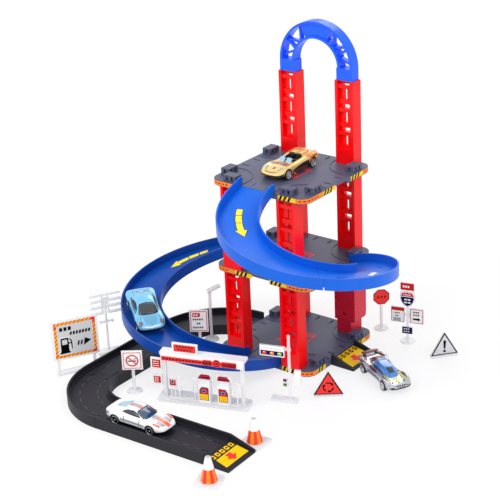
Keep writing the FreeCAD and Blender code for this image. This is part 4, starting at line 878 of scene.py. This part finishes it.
def gold_car():
    cockpit = [(8.0, -6.8), (9.0, -3.4), (9.2, 0), (9.0, 3.4), (8.0, 6.8), (5.6, 8.8), (-9.6, 8.8),
               (-12.4, 7.2), (-13.2, 3.6), (-13.4, 0), (-13.2, -3.6), (-12.4, -7.2), (-9.6, -8.8),
               (5.6, -8.8)]
    car = Car("gold_car", "gold", "gold_paint", [block(cockpit, 10.6, 20.0)])
    for side, v in (("right", -4.2), ("left", 4.2)):
        back = block([(-11.6, v - 2.9), (-9.4, v - 3.1), (-9.4, v + 3.1), (-11.6, v + 2.9)], 10.7, 16.2, 0.8)
        car.add("_seat_back_" + side, back, "trim", "chassis_black")
        seat = block(box(-9.0, v - 2.8, -2.4, v + 2.8), 10.7, 12.2, 0.5)
        car.add("_seat_" + side, seat, "trim", "chassis_black")
        hump = smoothed([(-23, [(0.5, 14.6), (0.5, 15.0), (0.2, 15.2), (0, 15.2)]),
                         (-19, [(2.4, 13.2), (2.2, 15.8), (1.2, 16.5), (0, 16.6)]),
                         (-14.4, [(3.0, 12.4), (2.9, 16.2), (1.6, 17.2), (0, 17.4)]),
                         (-12.6, [(2.8, 12.4), (2.7, 15.8), (1.4, 16.8), (0, 17.0)])])
        hump.transform(Matrix.Translation((0, v, 0)))
        car.add("_hump_" + side, hump, "gold", "gold_paint")
        corners = [(8.6, v - 3.4, 12.3), (8.6, v + 3.4, 12.3), (4.6, v + 3.0, 16.0), (4.6, v - 3.0, 16.0)]
        glass = car.add("_screen_" + side, screen(corners, 0.6, 0.5), "ice", "window_tint")
        if side == "right":
            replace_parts(glass, car.name + "_windows")
    ring = Matrix.Translation((3.4, 4.2, 13.8)) @ Matrix.Rotation(math.radians(-62), 4, "Y")
    car.add("_steering_wheel", torus(ring, 1.9, 0.32), "trim", "chassis_black")
    dash = block([(5.0, -8.2), (8.4, -6.4), (8.4, 6.4), (5.0, 8.2)], 10.7, 12.9, 0.5)
    car.add("_dashboard", dash, "trim", "chassis_black")
    car.prints([
        ("top", "copper", 0.1, across((13, 11.0), (16.4, 10.6), (14.6, 4), (12.8, 0))
         + [(10.8, 4), (10.4, 0), (10.8, -4)]),
        ("top", "violet", 0.1, across((17, 10.4), (19.4, 10.0), (18.0, 4), (16.6, 0))
         + [(15.2, 4), (14.4, 0), (15.2, -4)]),
        ("top", "violet", 0.12, across((24.4, 1.4), (28.0, 1.1))),
        ("top", "violet", 0.12, across((31.6, 7.4), (32.8, 7.0), (34.2, 0)) + [(33.2, 0)]),
        ("pair", "ice", 0.12, [(24.4, 8.8), (29.8, 7.8), (29.0, 10.2), (25.2, 11.4)]),
        ("pair", "violet", 0.12, [(24.0, 8.2), (30.8, 7.0), (30.8, 7.5), (24.0, 8.8)]),
        ("pair", "copper", 0.12, [(-34.4, 8.6), (-30, 12.4), (-16, 13.4), (-13, 12.4), (-14.6, 10.6),
                                  (-29, 9.8)]),
        ("pair", "copper", 0.14, [(-26, 3.6), (-22, 6.4), (-16.5, 7.4), (-16.5, 8.4), (-24, 7.4),
                                  (-28, 4.2)]),
        ("side", "trim", 0.12, [(-15.2, 4.2), (13.4, 4.0), (14.6, 6.6), (9, 8.2), (-6, 10.4), (-14.6, 10.6)]),
        ("side", "copper", 0.12, [(-34.6, 9.4), (-28.8, 11.2), (-15.0, 11.6), (-15.2, 12.8), (-30, 13.4)]),
        ("front", "trim", 0.18, [(-12.6, 4.3), (12.6, 4.3), (11.6, 7.0), (0, 6.6), (-11.6, 7.0)]),
        ("side", "trim", 0.14, [(27.6, 4.4), (34.4, 4.6), (33.6, 7.0), (28.4, 7.6)]),
    ] + [("back", "lamp_red", 0.15, oval(v, 10.4, 1.5, 1.0)) for v in (-7.0, 7.0)])
    car.wheels("chrome")


def silver_car():
    car = Car("silver_car", "silver", "silver_paint")
    car.cabin("_canopy", "canopy", "window_tint", "_windows")
    rows = [
        ("top", "silver", 0.12, across((-23.4, 5.6), (-9.6, 9.4), (-7.6, 0))),
        ("pair", "wine", 0.22, [(-20.4, 1.2), (-10.4, 1.8), (-9.8, 6.6), (-14, 7.4), (-20.4, 4.6)]),
        ("top", "lime", 0.22, box(-18, -0.8, -11, 0.8)),
        ("side", "tint_blue", 0.12, [(-8.6, 13.0), (12, 11.8), (8, 13.8), (0, 15.4), (-8.4, 15.2)]),
        ("top", "trim", 0.14, across((7.8, 3.3), (15.6, 2.7))),
    ]
    rows += [("top", "slate", 0.3, box(9.0 + row * 1.8, -2.5, 9.5 + row * 1.8, 2.5)) for row in range(4)]
    rows += [
        ("top", "lime", 0.12, across((21.6, 3.4), (31.0, 0.6))),
        ("pair", "lime", 0.12, [(12.6, 7.6), (22.6, 6.2), (30.4, 9.4), (30.4, 10.6), (21, 9.2), (13, 9.4)]),
        ("pair", "wine", 0.12, [(14.6, 9.8), (21, 9.9), (26.2, 11.0), (21, 12.4), (15, 12.0)]),
        ("pair", "wine", 0.12, [(-12.2, 9.6), (-2, 9.8), (6, 11.4), (-12.2, 12.6)]),
        ("pair", "wine", 0.12, [(-30, 5), (-19.6, 9.6), (-20.6, 12.4), (-31.6, 9.2)]),
        ("pair", "trim", 0.2, oval(28.4, 6.6, 1.2, 0.8, 12)),
        ("side", "slate", 0.12, [(-13.6, 3.8), (13.4, 3.8), (12.6, 8.0), (-12.6, 9.4)]),
        ("side", "wine", 0.12, [(-33.6, 9.2), (-28.6, 11.8), (-20, 13.0), (-20, 14.4), (-33.6, 12.6)]),
        ("front", "trim", 0.16, [(-12.4, 4.3), (12.4, 4.3), (11.4, 7.2), (6, 8.2), (-6, 8.2), (-11.4, 7.2)]),
    ]
    rows += [("front", "chrome", 0.34, [(v - 0.5, 7.9), (v + 0.5, 7.9), (v, 6.0)])
             for v in [row * 2.6 for row in range(-3, 4)]]
    car.prints(rows)
    wing = smoothed([(-34.6, [(10.0, 16.9), (10.0, 17.5), (6, 18.0), (0, 18.2)]),
                     (-32.0, [(10.4, 16.5), (10.4, 17.4), (6, 17.9), (0, 18.1)]),
                     (-29.8, [(10.0, 16.1), (10.0, 16.4), (6, 16.9), (0, 17.1)])])
    car.add("_wing", wing, "wine", "silver_paint")
    for side, v in (("right", -6.4), ("left", 6.4)):
        strut = block(box(-33.6, v - 0.7, -30.2, v + 0.7), 12.6, 17.2, 0.3)
        car.add("_strut_" + side, strut, "trim", "chassis_black")
    car.wheels("chrome")


# Signs and stickers: the place of each sign's middle and its turn
PLACES = {
    "billboard": (-155.8, -178, 60), "prohibition_sign": (-75, -179, 36), "parking_sign": (-84, -61.5, 34),
    "fuel_station": (-0.6, -156.3, 19), "traffic_light": (65.2, -110.7, 18),
    "roundabout_sign": (95.5, -77.5, 37), "warning_sign": (147.5, 60.5, 50), "octagon_sign": (57, 79, 44),
    "route_sign": (98, 68, 16), "cone_1": (97.7, -271.7, 20), "cone_2": (90, -193, 2.5),
}


def billboard_print():
    sheet = Print("billboard_print")
    sheet.rect(-24.6, 17.4, 24.6, 61.6, "white", 1, 1.0)
    u0, v0, u1, v1, width = -22.4, 19.4, 22.4, 59.8, 3.0
    stripe = 2.2
    sheet.rect(u0, v0, u1, v1, "bright_red", 2)
    at = u0 + 0.4
    while at + stripe + width < u1:
        for v in (v0, v1 - width):
            lower = [(at, v), (at + stripe, v)]
            sheet.shape(lower + [(u + width, v + width) for u, v in reversed(lower)], "yellow", 3)
        at += 2 * stripe
    at = v0 + width
    while at + stripe + width < v1 - width:
        for u in (u0, u1 - width):
            lower = [(u, at), (u + width, at + width)]
            sheet.shape(lower + [(u, v + stripe) for u, v in reversed(lower)], "yellow", 3)
        at += 2 * stripe
    sheet.rect(u0 + width, v0 + width, u1 - width, v1 - width, "grey", 4)
    sheet.dashes(-16.5, -3, 52.2, 4.2, "black", 5, dash=3.2, gap=1.4)
    sheet.dashes(-6, 17.4, 46.2, 3.6, "black", 5, dash=2.2, gap=1.1, lean=0.8)
    for grow, tone, level in ((0.9, "white", 5), (0.0, "black", 6)):
        sheet.rect(-16.4 - grow, 25.2 - grow, -7.6 + grow, 42 + grow, tone, level, 1.2)
        sheet.rect(-17.6 - grow, 24.2 - grow, -6.4 + grow, 26.2 + grow, tone, level)
        for start, end in (((-7.8, 35.5), (-4.6, 35.5)), ((-4.4, 37.5), (-4.4, 28.6)),
                           ((-4.4, 37.3), (-6.4, 40.6))):
            sheet.bar(start, end, 1.3 + 2 * grow, tone, level)
    sheet.rect(-14.8, 34.6, -9.2, 40.2, "grey", 7, 0.6)
    for u in (1.4, 4.8):
        sheet.shape([(u, 31), (u + 1.8, 31), (u + 3.0, 36), (u + 1.2, 36)], "black", 5)
    sheet.shape([(8.4, 29.6), (16.6, 34.6), (9.8, 38.2)], "black", 5)
    sheet.stick("billboard", -2.4)


def square_prints():
    sheet = Print("prohibition_print")
    sheet.rect(-10.2, 26.3, 10.2, 46.7, "white", 1, 1.2)
    sheet.rect(-9.0, 27.5, 9.0, 45.5, "red", 2, 0.8)
    sheet.rect(-8.3, 28.2, 8.3, 44.8, "white", 3, 0.6)
    sheet.bar((-4.6, 36.0), (4.2, 36.0), 1.1, "black", 4)
    sheet.bar((1.6, 37.4), (4.2, 39.2), 0.6, "black", 4)
    sheet.arc(0, 36.5, 5.3, 6.5, 0, 360, "red", 5, steps=36)
    sheet.bar((-4.0, 40.5), (4.0, 32.5), 1.1, "red", 5)
    sheet.stick("prohibition_sign", -2.6)

    sheet = Print("parking_print")
    sheet.rect(-9.7, 17.8, 9.7, 42.7, "white", 1, 1.4)
    sheet.rect(-8.9, 18.6, 8.9, 41.9, "red", 2, 1.0)
    sheet.rect(-8.1, 19.4, 8.1, 41.1, "white", 3, 0.8)
    sheet.rect(-6.8, 35.4, 1.6, 40.0, "red", 4, 0.8)
    sheet.dashes(-5.6, 0.6, 37.7, 1.6, "white", 5, dash=2.0)
    for v, reach in ((32.4, 6.4), (27.6, 2.4), (22.8, 6.4)):
        sheet.dashes(-reach, reach, v, 1.9, "black", 4, dash=1.5)
    sheet.stick("parking_sign", -2.6)


def station_prints():
    sheet = Print("station_fascia_print")
    sheet.rect(-43.4, 43.2, 43.4, 52.2, "white", 1)
    sheet.rect(-43.0, 43.4, 36.4, 48.2, "bright_red", 2)
    for u0, u1 in ((1.6, 10.6), (21.0, 29.4), (28.0, 36.6)):
        sheet.rect(u0, 43.25, u1, 49.4, "bright_red", 2, 0.8)
    sheet.disc(15.9, 46.6, 4.2, "bright_red", 3)
    sheet.arc(15.9, 46.6, 2.5, 3.3, 0, 360, "maroon", 4, steps=24)
    sheet.disc(15.9, 46.6, 1.2, "maroon", 4)
    sheet.dashes(-41.4, 10.2, 45.8, 1.9, "maroon", 4, dash=2.2, gap=1.3)
    sheet.dashes(21.8, 35, 45.9, 2.2, "maroon", 4, dash=1.2, gap=0.9, lean=1.2)
    sheet.stick("fuel_station", -3.6)

    sheet = Print("station_board_prints")
    sheet.rect(-31.7, 52.3, -5.3, 62.7, "white", 1, 1.0)
    sheet.rect(-30.2, 53.6, -6.8, 61.4, "bright_red", 2, 0.5)
    for u0, u1, v in ((-27.6, -9.4, 59.2), (-26.2, -10.6, 56.0)):
        sheet.dashes(u0, u1, v, 1.7, "maroon", 3, dash=2.1, gap=1.1)
    for v0, side in ((13.8, 11.0), (31.0, 12.6)):
        half = side / 2 - 0.3
        inner = half - 1.5
        middle = v0 + side / 2
        sheet.rect(-50 - half, middle - half, -50 + half, middle + half, "white", 1, 1.2)
        sheet.rect(-50 - inner, middle - inner, -50 + inner, middle + inner, "red", 2, 0.6)
        for row in (-1, 0, 1):
            sheet.dashes(-50 - inner + 1.2, -50 + inner - 0.8, middle + row * inner * 0.55, 0.9, "white", 3,
                         dash=1.5, gap=0.7)
    sheet.stick("fuel_station", -0.9)

    case = [(-4.9, 6.2), (4.9, 6.2), (4.9, 20.2), (2.6, 20.8), (-2.4, 20.8), (-4.9, 17.4)]
    other_case = [(-4.9, 6.2), (4.9, 6.2), (4.9, 16.6), (2.6, 20.8), (-4.9, 20.8)]
    sheet = Print("pump_case_prints")
    for u, outline in ((2.6, case), (23.0, other_case)):
        sheet.rect(u - 5.9, 3.6, u + 5.9, 24.6, "white", 1, 1.0)
        sheet.shape([(u + a, b) for a, b in outline], "black", 2)
        sheet.shape([(u + a * 0.88, 13.5 + (b - 13.5) * 0.92) for a, b in outline], "red", 3)
        sheet.rect(u - 4.3, 6.9, u + 4.3, 13.0, "yellow", 4)
        sheet.rect(u - 2.4, 14.6, u + 2.2, 18.4, "sky", 4, 1.2)
        sheet.rect(u - 1.4, 15.7, u + 1.2, 17.2, "navy", 5, 0.5)
        for v in (10.6, 8.6):
            sheet.dashes(u - 2.6, u + 3.0, v, 1.0, "orange", 5, dash=1.4, gap=0.6)
    sheet.stick("fuel_station", -8.0)

    layers = (
        ("black", [(-6.4, 28.6), (6.4, 28.6), (6.4, 31.6), (5.0, 33.6), (-3.4, 33.6), (-6.4, 30.0)]),
        ("red", [(-5.6, 29.1), (5.9, 29.1), (5.9, 31.4), (4.8, 33.1), (-3.2, 33.1), (-5.6, 30.0)]),
        ("navy", [(-3.6, 29.8), (5.0, 29.8), (5.0, 31.0), (-2.8, 31.0)]),
    )
    sheet = Print("pump_top_prints")
    for u, turn in ((2.6, 1), (23.0, -1)):
        for level, (tone, points) in enumerate(layers, 2):
            sheet.shape([(u + turn * a, b) for a, b in points], tone, level)
    sheet.rect(-35.3, 16.9, -27.9, 24.3, "white", 1, 0.8)
    sheet.rect(-34.8, 17.2, -28.4, 23.8, "red", 2, 0.5)
    sheet.disc(-31.6, 21.4, 1.9, "white", 3)
    sheet.disc(-31.6, 21.4, 1.4, "navy", 4)
    sheet.stick("fuel_station", -5.4)


def traffic_light_print():
    sheet = Print("traffic_light_print")
    sheet.rect(-24.0, 48.9, 1.2, 60.1, "white", 1, 0.8)
    sheet.rect(-23.2, 49.9, 0.6, 54.6, "navy", 2, 0.4)
    for u, tone in ((-19.2, "bright_red"), (-11.3, "orange"), (-3.4, "green")):
        sheet.shape(oval(u, 52.2, 2.3, 1.9, 24), tone, 3)
        sheet.shape(oval(u - 0.5, 52.8, 0.8, 0.5, 16), "white", 4)
    sheet.dashes(-21, -3, 57.4, 0.8, "grey", 2, dash=2.4, gap=1.4)
    sheet.rect(11.6, 20.4, 17.6, 36.0, "white", 1, 0.8)
    sheet.stick("traffic_light", -0.9)
    labels = Print("traffic_light_labels")
    labels.rect(-0.3, 22.2, 3.1, 25.2, "navy", 1, 0.3)
    labels.rect(0.6, 22.6, 2.2, 23.8, "red", 2)
    labels.rect(-0.3, 17.2, 3.1, 20.2, "black", 1, 0.3)
    labels.rect(0.5, 17.8, 2.3, 19.0, "green", 2)
    labels.stick("traffic_light", -1.5)


def triangle_prints():
    def triangle(radius):
        return [polar(radius, 90 + 120 * i, (0, 9.85)) for i in range(3)]

    sheet = Print("roundabout_print")
    sheet.shape(triangle(17.4), "black", 1)
    sheet.shape(triangle(14.8), "bright_red", 2)
    middle = (0, 9.6)
    for start in (40, 160, 280):
        sheet.arc(0, 9.6, 4.2, 5.6, start, start + 78, "black", 3, steps=10)
        head = [polar(radius, start + turn, middle) for radius, turn in ((4.9, -22), (6.8, 4), (3.0, 4))]
        sheet.shape(head, "black", 3)
    sheet.stick("roundabout_sign", -0.9)

    sheet = Print("warning_print")
    sheet.shape(triangle(17.4), "black", 1)
    sheet.shape(triangle(14.6), "grey", 2)
    sheet.shape([(-0.9, 8.4), (0.9, 8.4), (1.5, 17.0), (0.8, 18.0), (-0.8, 18.0), (-1.5, 17.0)], "black", 3)
    sheet.disc(0, 5.6, 1.5, "black", 3, sides=20)
    sheet.stick("warning_sign", -0.9)


def octagon_print():
    sheet = Print("octagon_print")
    for radius, tone, level in ((9.4, "maroon", 1), (8.5, "bright_red", 2)):
        sheet.disc(0, 38.5, radius, tone, level, sides=8, start=22.5)
    for u in (-4.6, -0.9, 2.8):
        sheet.rect(u, 37.2, u + 1.9, 39.8, "maroon", 3, 0.4)
    sheet.stick("octagon_sign", -1.8)


def route_prints():
    sheet = Print("route_board_prints")
    sheet.rect(-7.3, 61.2, 7.3, 69.3, "red", 1, 0.4)
    sheet.dashes(-4.9, 5.0, 65.2, 2.4, "white", 2, dash=1.9)
    sheet.rect(-17.7, 23.2, -3.1, 40.3, "white", 1)
    sheet.rect(-17.5, 23.4, -3.3, 40.1, "black", 2)
    sheet.rect(-17.0, 23.9, -3.8, 39.6, "white", 3)
    sheet.rect(-17.3, 36.4, -3.5, 39.9, "red", 4)
    for v, reach in ((33.6, 3.4), (30.4, 2.6), (27.2, 4.6), (25.2, 4.6)):
        sheet.dashes(-10.4 - reach, -10.4 + reach, v, 1.3, "black", 4, dash=1.3)
    sheet.rect(3.1, 23.2, 17.7, 40.3, "white", 1)
    sheet.rect(3.4, 23.5, 17.4, 40.0, "red", 2)
    sheet.rect(4.1, 24.2, 16.7, 39.3, "white", 3)
    for v in (36.4, 33.2):
        sheet.dashes(6.8, 14.4, v, 1.7, "black", 4, dash=1.6)
    sheet.bar((6.4, 28.4), (12.0, 28.4), 2.0, "black", 4)
    sheet.shape([(11.6, 26.4), (14.8, 28.4), (11.6, 30.4)], "black", 4)
    sheet.rect(-5.5, 10.2, 5.5, 17.8, "navy", 1)
    for v in (15.6, 12.6):
        sheet.dashes(-3.6, 3.8, v, 1.1, "white", 2, dash=1.5, gap=0.7)
    sheet.stick("route_sign", -2.4)

    def shield(right, tone, level):
        sheet.shape(right + [(-u, v) for u, v in reversed(right) if u], tone, level)

    sheet = Print("route_shield_print")
    half = [(0, 41.2), (3.6, 43.0), (6.6, 46.4), (8.0, 50.6), (7.6, 54.6), (6.6, 57.4), (4.2, 59.0),
            (2.0, 58.4), (0, 59.4)]
    for size, tone, level in ((1.0, "white", 1), (0.88, "navy", 2)):
        shield([(u * size, 50.4 + (v - 50.4) * size) for u, v in half], tone, level)
    shield([(7.0, 53.6), (6.7, 54.6), (5.8, 56.6), (3.7, 58.0), (1.8, 57.4), (0, 58.3)], "red", 3)
    sheet.bar((-7.1, 53.4), (7.1, 53.4), 0.7, "white", 4)
    sheet.dashes(-4.4, 4.6, 55.6, 1.1, "white", 4, dash=1.4)
    for v in (50.0, 46.6):
        sheet.dashes(-3.4, 3.4, v, 1.6, "white", 4, dash=3.0)
    sheet.stick("route_sign", -1.8)


def cone_sleeve(name):
    """White top and striped skirt, a thin shell round the cone."""
    mesh = bmesh.new()
    sides = 48
    base, top, wide, narrow = 1.2, 26.2, 7.8, 2.3

    def ring(height, grow):
        radius = wide + (narrow - wide) * (height - base) / (top - base) + grow
        return [mesh.verts.new((u, v, height)) for u, v in oval(0, 0, radius, radius, sides)]

    for low, high, striped in ((base + 0.6, 14.6, True), (14.6, top - 0.1, False)):
        rings = [ring(low, 0.04), ring(low, 0.24), ring(high, 0.24), ring(high, 0.04)]
        for first, second in pairs(rings):
            for i, ((a, b), (c, d)) in enumerate(zip(pairs(first), pairs(second))):
                face = mesh.faces.new((a, b, d, c))
                face.material_index = 1 + (i // 4) % 2 if striped else 0
                face.smooth = True
    data = data_of(mesh, name + "_print", ("white", "bright_red", "orange"))
    data.set_sharp_from_angle(angle=math.radians(40))
    x, y, yaw = PLACES[name]
    add_piece(data, name, "sign_clear", placed(x, y, 0, yaw))


# Road and ramp marks
def road_marks():
    marks = Print("road_dashes", layer=0.1)
    pitch = 14.0
    long = 7.5
    wide = 0.7
    for x, y, heading, length in ((-118.4, -58.4, 270, 119), (-57.5, -235.7, 2.5, 132)):
        along = Vector(polar(1.0, heading))
        at = pitch
        while at < length - 18:
            for side in (-9, 9):
                start = Vector((x, y)) + along * at + Vector((-along.y, along.x)) * side
                marks.bar(tuple(start), tuple(start + along * long), wide, "dash")
            at += pitch
    for cx, cy, first, last in ((-60.4, -58, 90, 180), (-60.4, -177.8, 180, 272)):
        at = first + 8
        while at + 8 < last:
            for radius in (ROAD_BEND - 9, ROAD_BEND + 9):
                marks.arc(cx, cy, radius - wide / 2, radius + wide / 2, at, at + long, "dash", steps=4)
            at += pitch
    marks.finish("garage", placed(0, 0, DECK_THICKNESS + 0.02, 0, -90), "road_black")


def exit_panel(name, x, y, yaw, ground, ink, gap):
    """Yellow panel with a red arrow and a row of plain squares, laid on an exit ramp."""
    slope = math.degrees(math.atan2(DECK_THICKNESS - 1.2, 28.0))
    sheet = Print(name, layer=0.1)
    if ground:
        sheet.rect(1.4, -17.6, 24.0, 17.6, "yellow", 1)
    for row in range(5):
        v = -14.2 + row * 7.1
        sheet.rect(2.6, v - 2.4, 7.8, v + 2.4, ink, 2, 0.8)
        sheet.rect(4.2, v - 1.0, 6.2, v + 1.0, gap, 3)
    sheet.rect(9.6, -17.6, 23.4, 17.6, "yellow", 2)
    sheet.shape([(11.2, -3.6), (16.0, -3.6), (16.0, -7.4), (22.0, 0), (16.0, 7.4), (16.0, 3.6), (11.2, 3.6)],
                "bright_red", 3)
    place = (placed(x, y, DECK_THICKNESS + 0.03, yaw) @ Matrix.Rotation(math.radians(slope), 4, "Y")
             @ Matrix.Rotation(math.radians(-90), 4, "X"))
    sheet.finish("garage", place, "road_black")


def ramp_arrow(skin, centre, start, end, offsets, tones, half=3.2):
    """A curved arrow down a ramp, in three blocks and a head, from one turn angle to another."""
    def spot(share, side):
        radius = RAMP_MIDDLE + offsets[0] + (offsets[1] - offsets[0]) * share + side
        return polar(radius, start + (end - start) * share, centre)

    outline, fill = tones
    for first, last in ((0.0, 0.2), (0.22, 0.47), (0.49, 0.76)):
        middle = (first + last) / 2
        for grow, tone, lift in ((0.5, outline, 0.1), (0.0, fill, 0.2)):
            wide = half + grow
            far = grow / 80
            shares = (first - far, middle, last + far)
            skin.patch("high", tone, lift, [spot(share, -wide) for share in shares]
                       + [spot(share, wide) for share in reversed(shares)])
    for grow, tone, lift in ((0.6, outline, 0.1), (0.0, fill, 0.2)):
        wide = half * 1.9 + grow * 1.6
        far = grow / 40
        root = 0.76 - far / 2
        skin.patch("high", tone, lift, [spot(root, -wide), spot(1.0 + far, 0), spot(root, wide)])


def node_tree(names):
    """The frame's own surface in millimetres, to lay marks on."""
    mesh = bmesh.new()
    for name in names:
        copy = NODES[name].data.copy()
        copy.transform(NODES[name].matrix_world)
        copy.transform(Matrix.Scale(1 / MM, 4))
        mesh.from_mesh(copy)
        bpy.data.meshes.remove(copy)
    tree = BVHTree.FromBMesh(mesh)
    mesh.free()
    return tree


def ramp_marks():
    lemon = ("black", "lemon")
    high = Skin("upper_ramp_arrow", [node_tree(["upper_ramp_entry", "upper_ramp_exit"])])
    middle = (RAMP_MIDDLE, -RAMP_MIDDLE)
    ramp_arrow(high, middle, 199, 234, (1.0, -4.0), lemon)
    ramp_arrow(high, middle, 369, 386, (-2.0, -2.0), ("grey", "white"), 2.0)
    high.finish("garage", Matrix.Identity(4), "ramp_blue")
    low = Skin("lower_ramp_arrow", [node_tree(["lower_ramp_entry", "lower_ramp_exit"])])
    ramp_arrow(low, (-RAMP_MIDDLE, -RAMP_MIDDLE), 126, 160, (8.0, 4.0), lemon)
    low.finish("garage", Matrix.Identity(4), "ramp_blue")


# Light, floor and camera
def seen_directly(nodes, links):
    """1 for rays from the camera and those seen in gloss and through glass, 0 for the light on the object."""
    path = nodes.new("ShaderNodeLightPath")
    total = path.outputs["Is Camera Ray"]
    for kind in ("Is Glossy Ray", "Is Transmission Ray"):
        larger = add_node(nodes, "ShaderNodeMath", operation="MAXIMUM")
        links.new(total, larger.inputs[0])
        links.new(path.outputs[kind], larger.inputs[1])
        total = larger.outputs[0]
    return total


def make_world():
    world = bpy.data.worlds.new("studio")
    bpy.context.scene.world = world
    world.use_nodes = True
    nodes = world.node_tree.nodes
    links = world.node_tree.links
    level = nodes.new("ShaderNodeMapRange")
    level.inputs["To Min"].default_value = 0.88
    level.inputs["To Max"].default_value = 1.0
    nodes["Background"].inputs["Color"].default_value = (1, 1, 1, 1)
    links.new(seen_directly(nodes, links), level.inputs["Value"])
    links.new(level.outputs["Result"], nodes["Background"].inputs["Strength"])


def make_floor():
    half = 4.0
    drop = 0.0003
    glow_share = 0.7
    mesh = bpy.data.meshes.new("floor")
    mesh.from_pydata([(x, y, 0) for x, y in box(-half, -half, half, half)], [], [(0, 1, 2, 3)])
    floor = link(mesh, "floor")
    floor.location.z = -drop
    material, nodes, links, shader = new_material("floor_paper")
    shader.inputs["Base Color"].default_value = (0.9, 0.9, 0.9, 1)
    shader.inputs["Roughness"].default_value = 0.9
    shader.inputs["Specular IOR Level"].default_value = 0.1
    glow = add_node(nodes, "ShaderNodeEmission", Strength=1.0)
    share = add_node(nodes, "ShaderNodeMath", operation="MULTIPLY")
    share.inputs[1].default_value = glow_share
    mix = nodes.new("ShaderNodeMixShader")
    links.new(seen_directly(nodes, links), share.inputs[0])
    links.new(share.outputs[0], mix.inputs["Fac"])
    links.new(shader.outputs["BSDF"], mix.inputs[1])
    links.new(glow.outputs["Emission"], mix.inputs[2])
    links.new(mix.outputs["Shader"], nodes["Material Output"].inputs["Surface"])
    mesh.materials.append(material)


def area_light(name, place, size, power):
    """A round soft lamp that points at the middle of the garage."""
    lamp = bpy.data.lights.new(name, "AREA")
    lamp.shape = "DISK"
    lamp.size = size
    lamp.energy = power
    light = link(lamp, name)
    light.location = place
    light.rotation_euler = (Vector((0, 0, 0.12)) - Vector(place)).to_track_quat("-Z", "Y").to_euler()


def make_camera():
    azimuth, elevation, roll = [math.radians(angle) for angle in (38.506, 23.194, -2.54)]
    place = Vector((0.8830, -1.1838, 0.7436))
    back = Vector((math.sin(azimuth) * math.cos(elevation), -math.cos(azimuth) * math.cos(elevation),
                   math.sin(elevation)))
    right = Vector((math.cos(azimuth), math.sin(azimuth), 0))
    up = back.cross(right)
    across_image = math.cos(roll) * right + math.sin(roll) * up
    up_image = -math.sin(roll) * right + math.cos(roll) * up
    data = bpy.data.cameras.new("camera")
    data.sensor_width = 36.0
    data.lens = 110.1
    camera = link(data, "camera")
    turn = Matrix((across_image, up_image, back)).transposed()
    camera.matrix_world = Matrix.Translation(place) @ turn.to_4x4()
    bpy.context.scene.camera = camera


bpy.context.scene.view_settings.view_transform = "Standard"
make_world()
make_floor()
area_light("key", (-0.5, -1.5, 1.9), 1.2, 21)
area_light("fill", (1.8, -0.4, 1.2), 1.4, 10)
area_light("back", (-0.6, 1.6, 1.5), 1.2, 9)
make_camera()
dress_frame()
gold_car()
blue_coupe()
white_coupe()
silver_car()
deck_stickers()
billboard_print()
square_prints()
station_prints()
traffic_light_print()
triangle_prints()
octagon_print()
route_prints()
cone_sleeve("cone_1")
cone_sleeve("cone_2")
road_marks()
exit_panel("road_exit_print", 74.6, -230.0, 2.5, False, "yellow", "black")
exit_panel("deck_exit_print", 60.4, 0, 0, True, "black", "yellow")
ramp_marks()
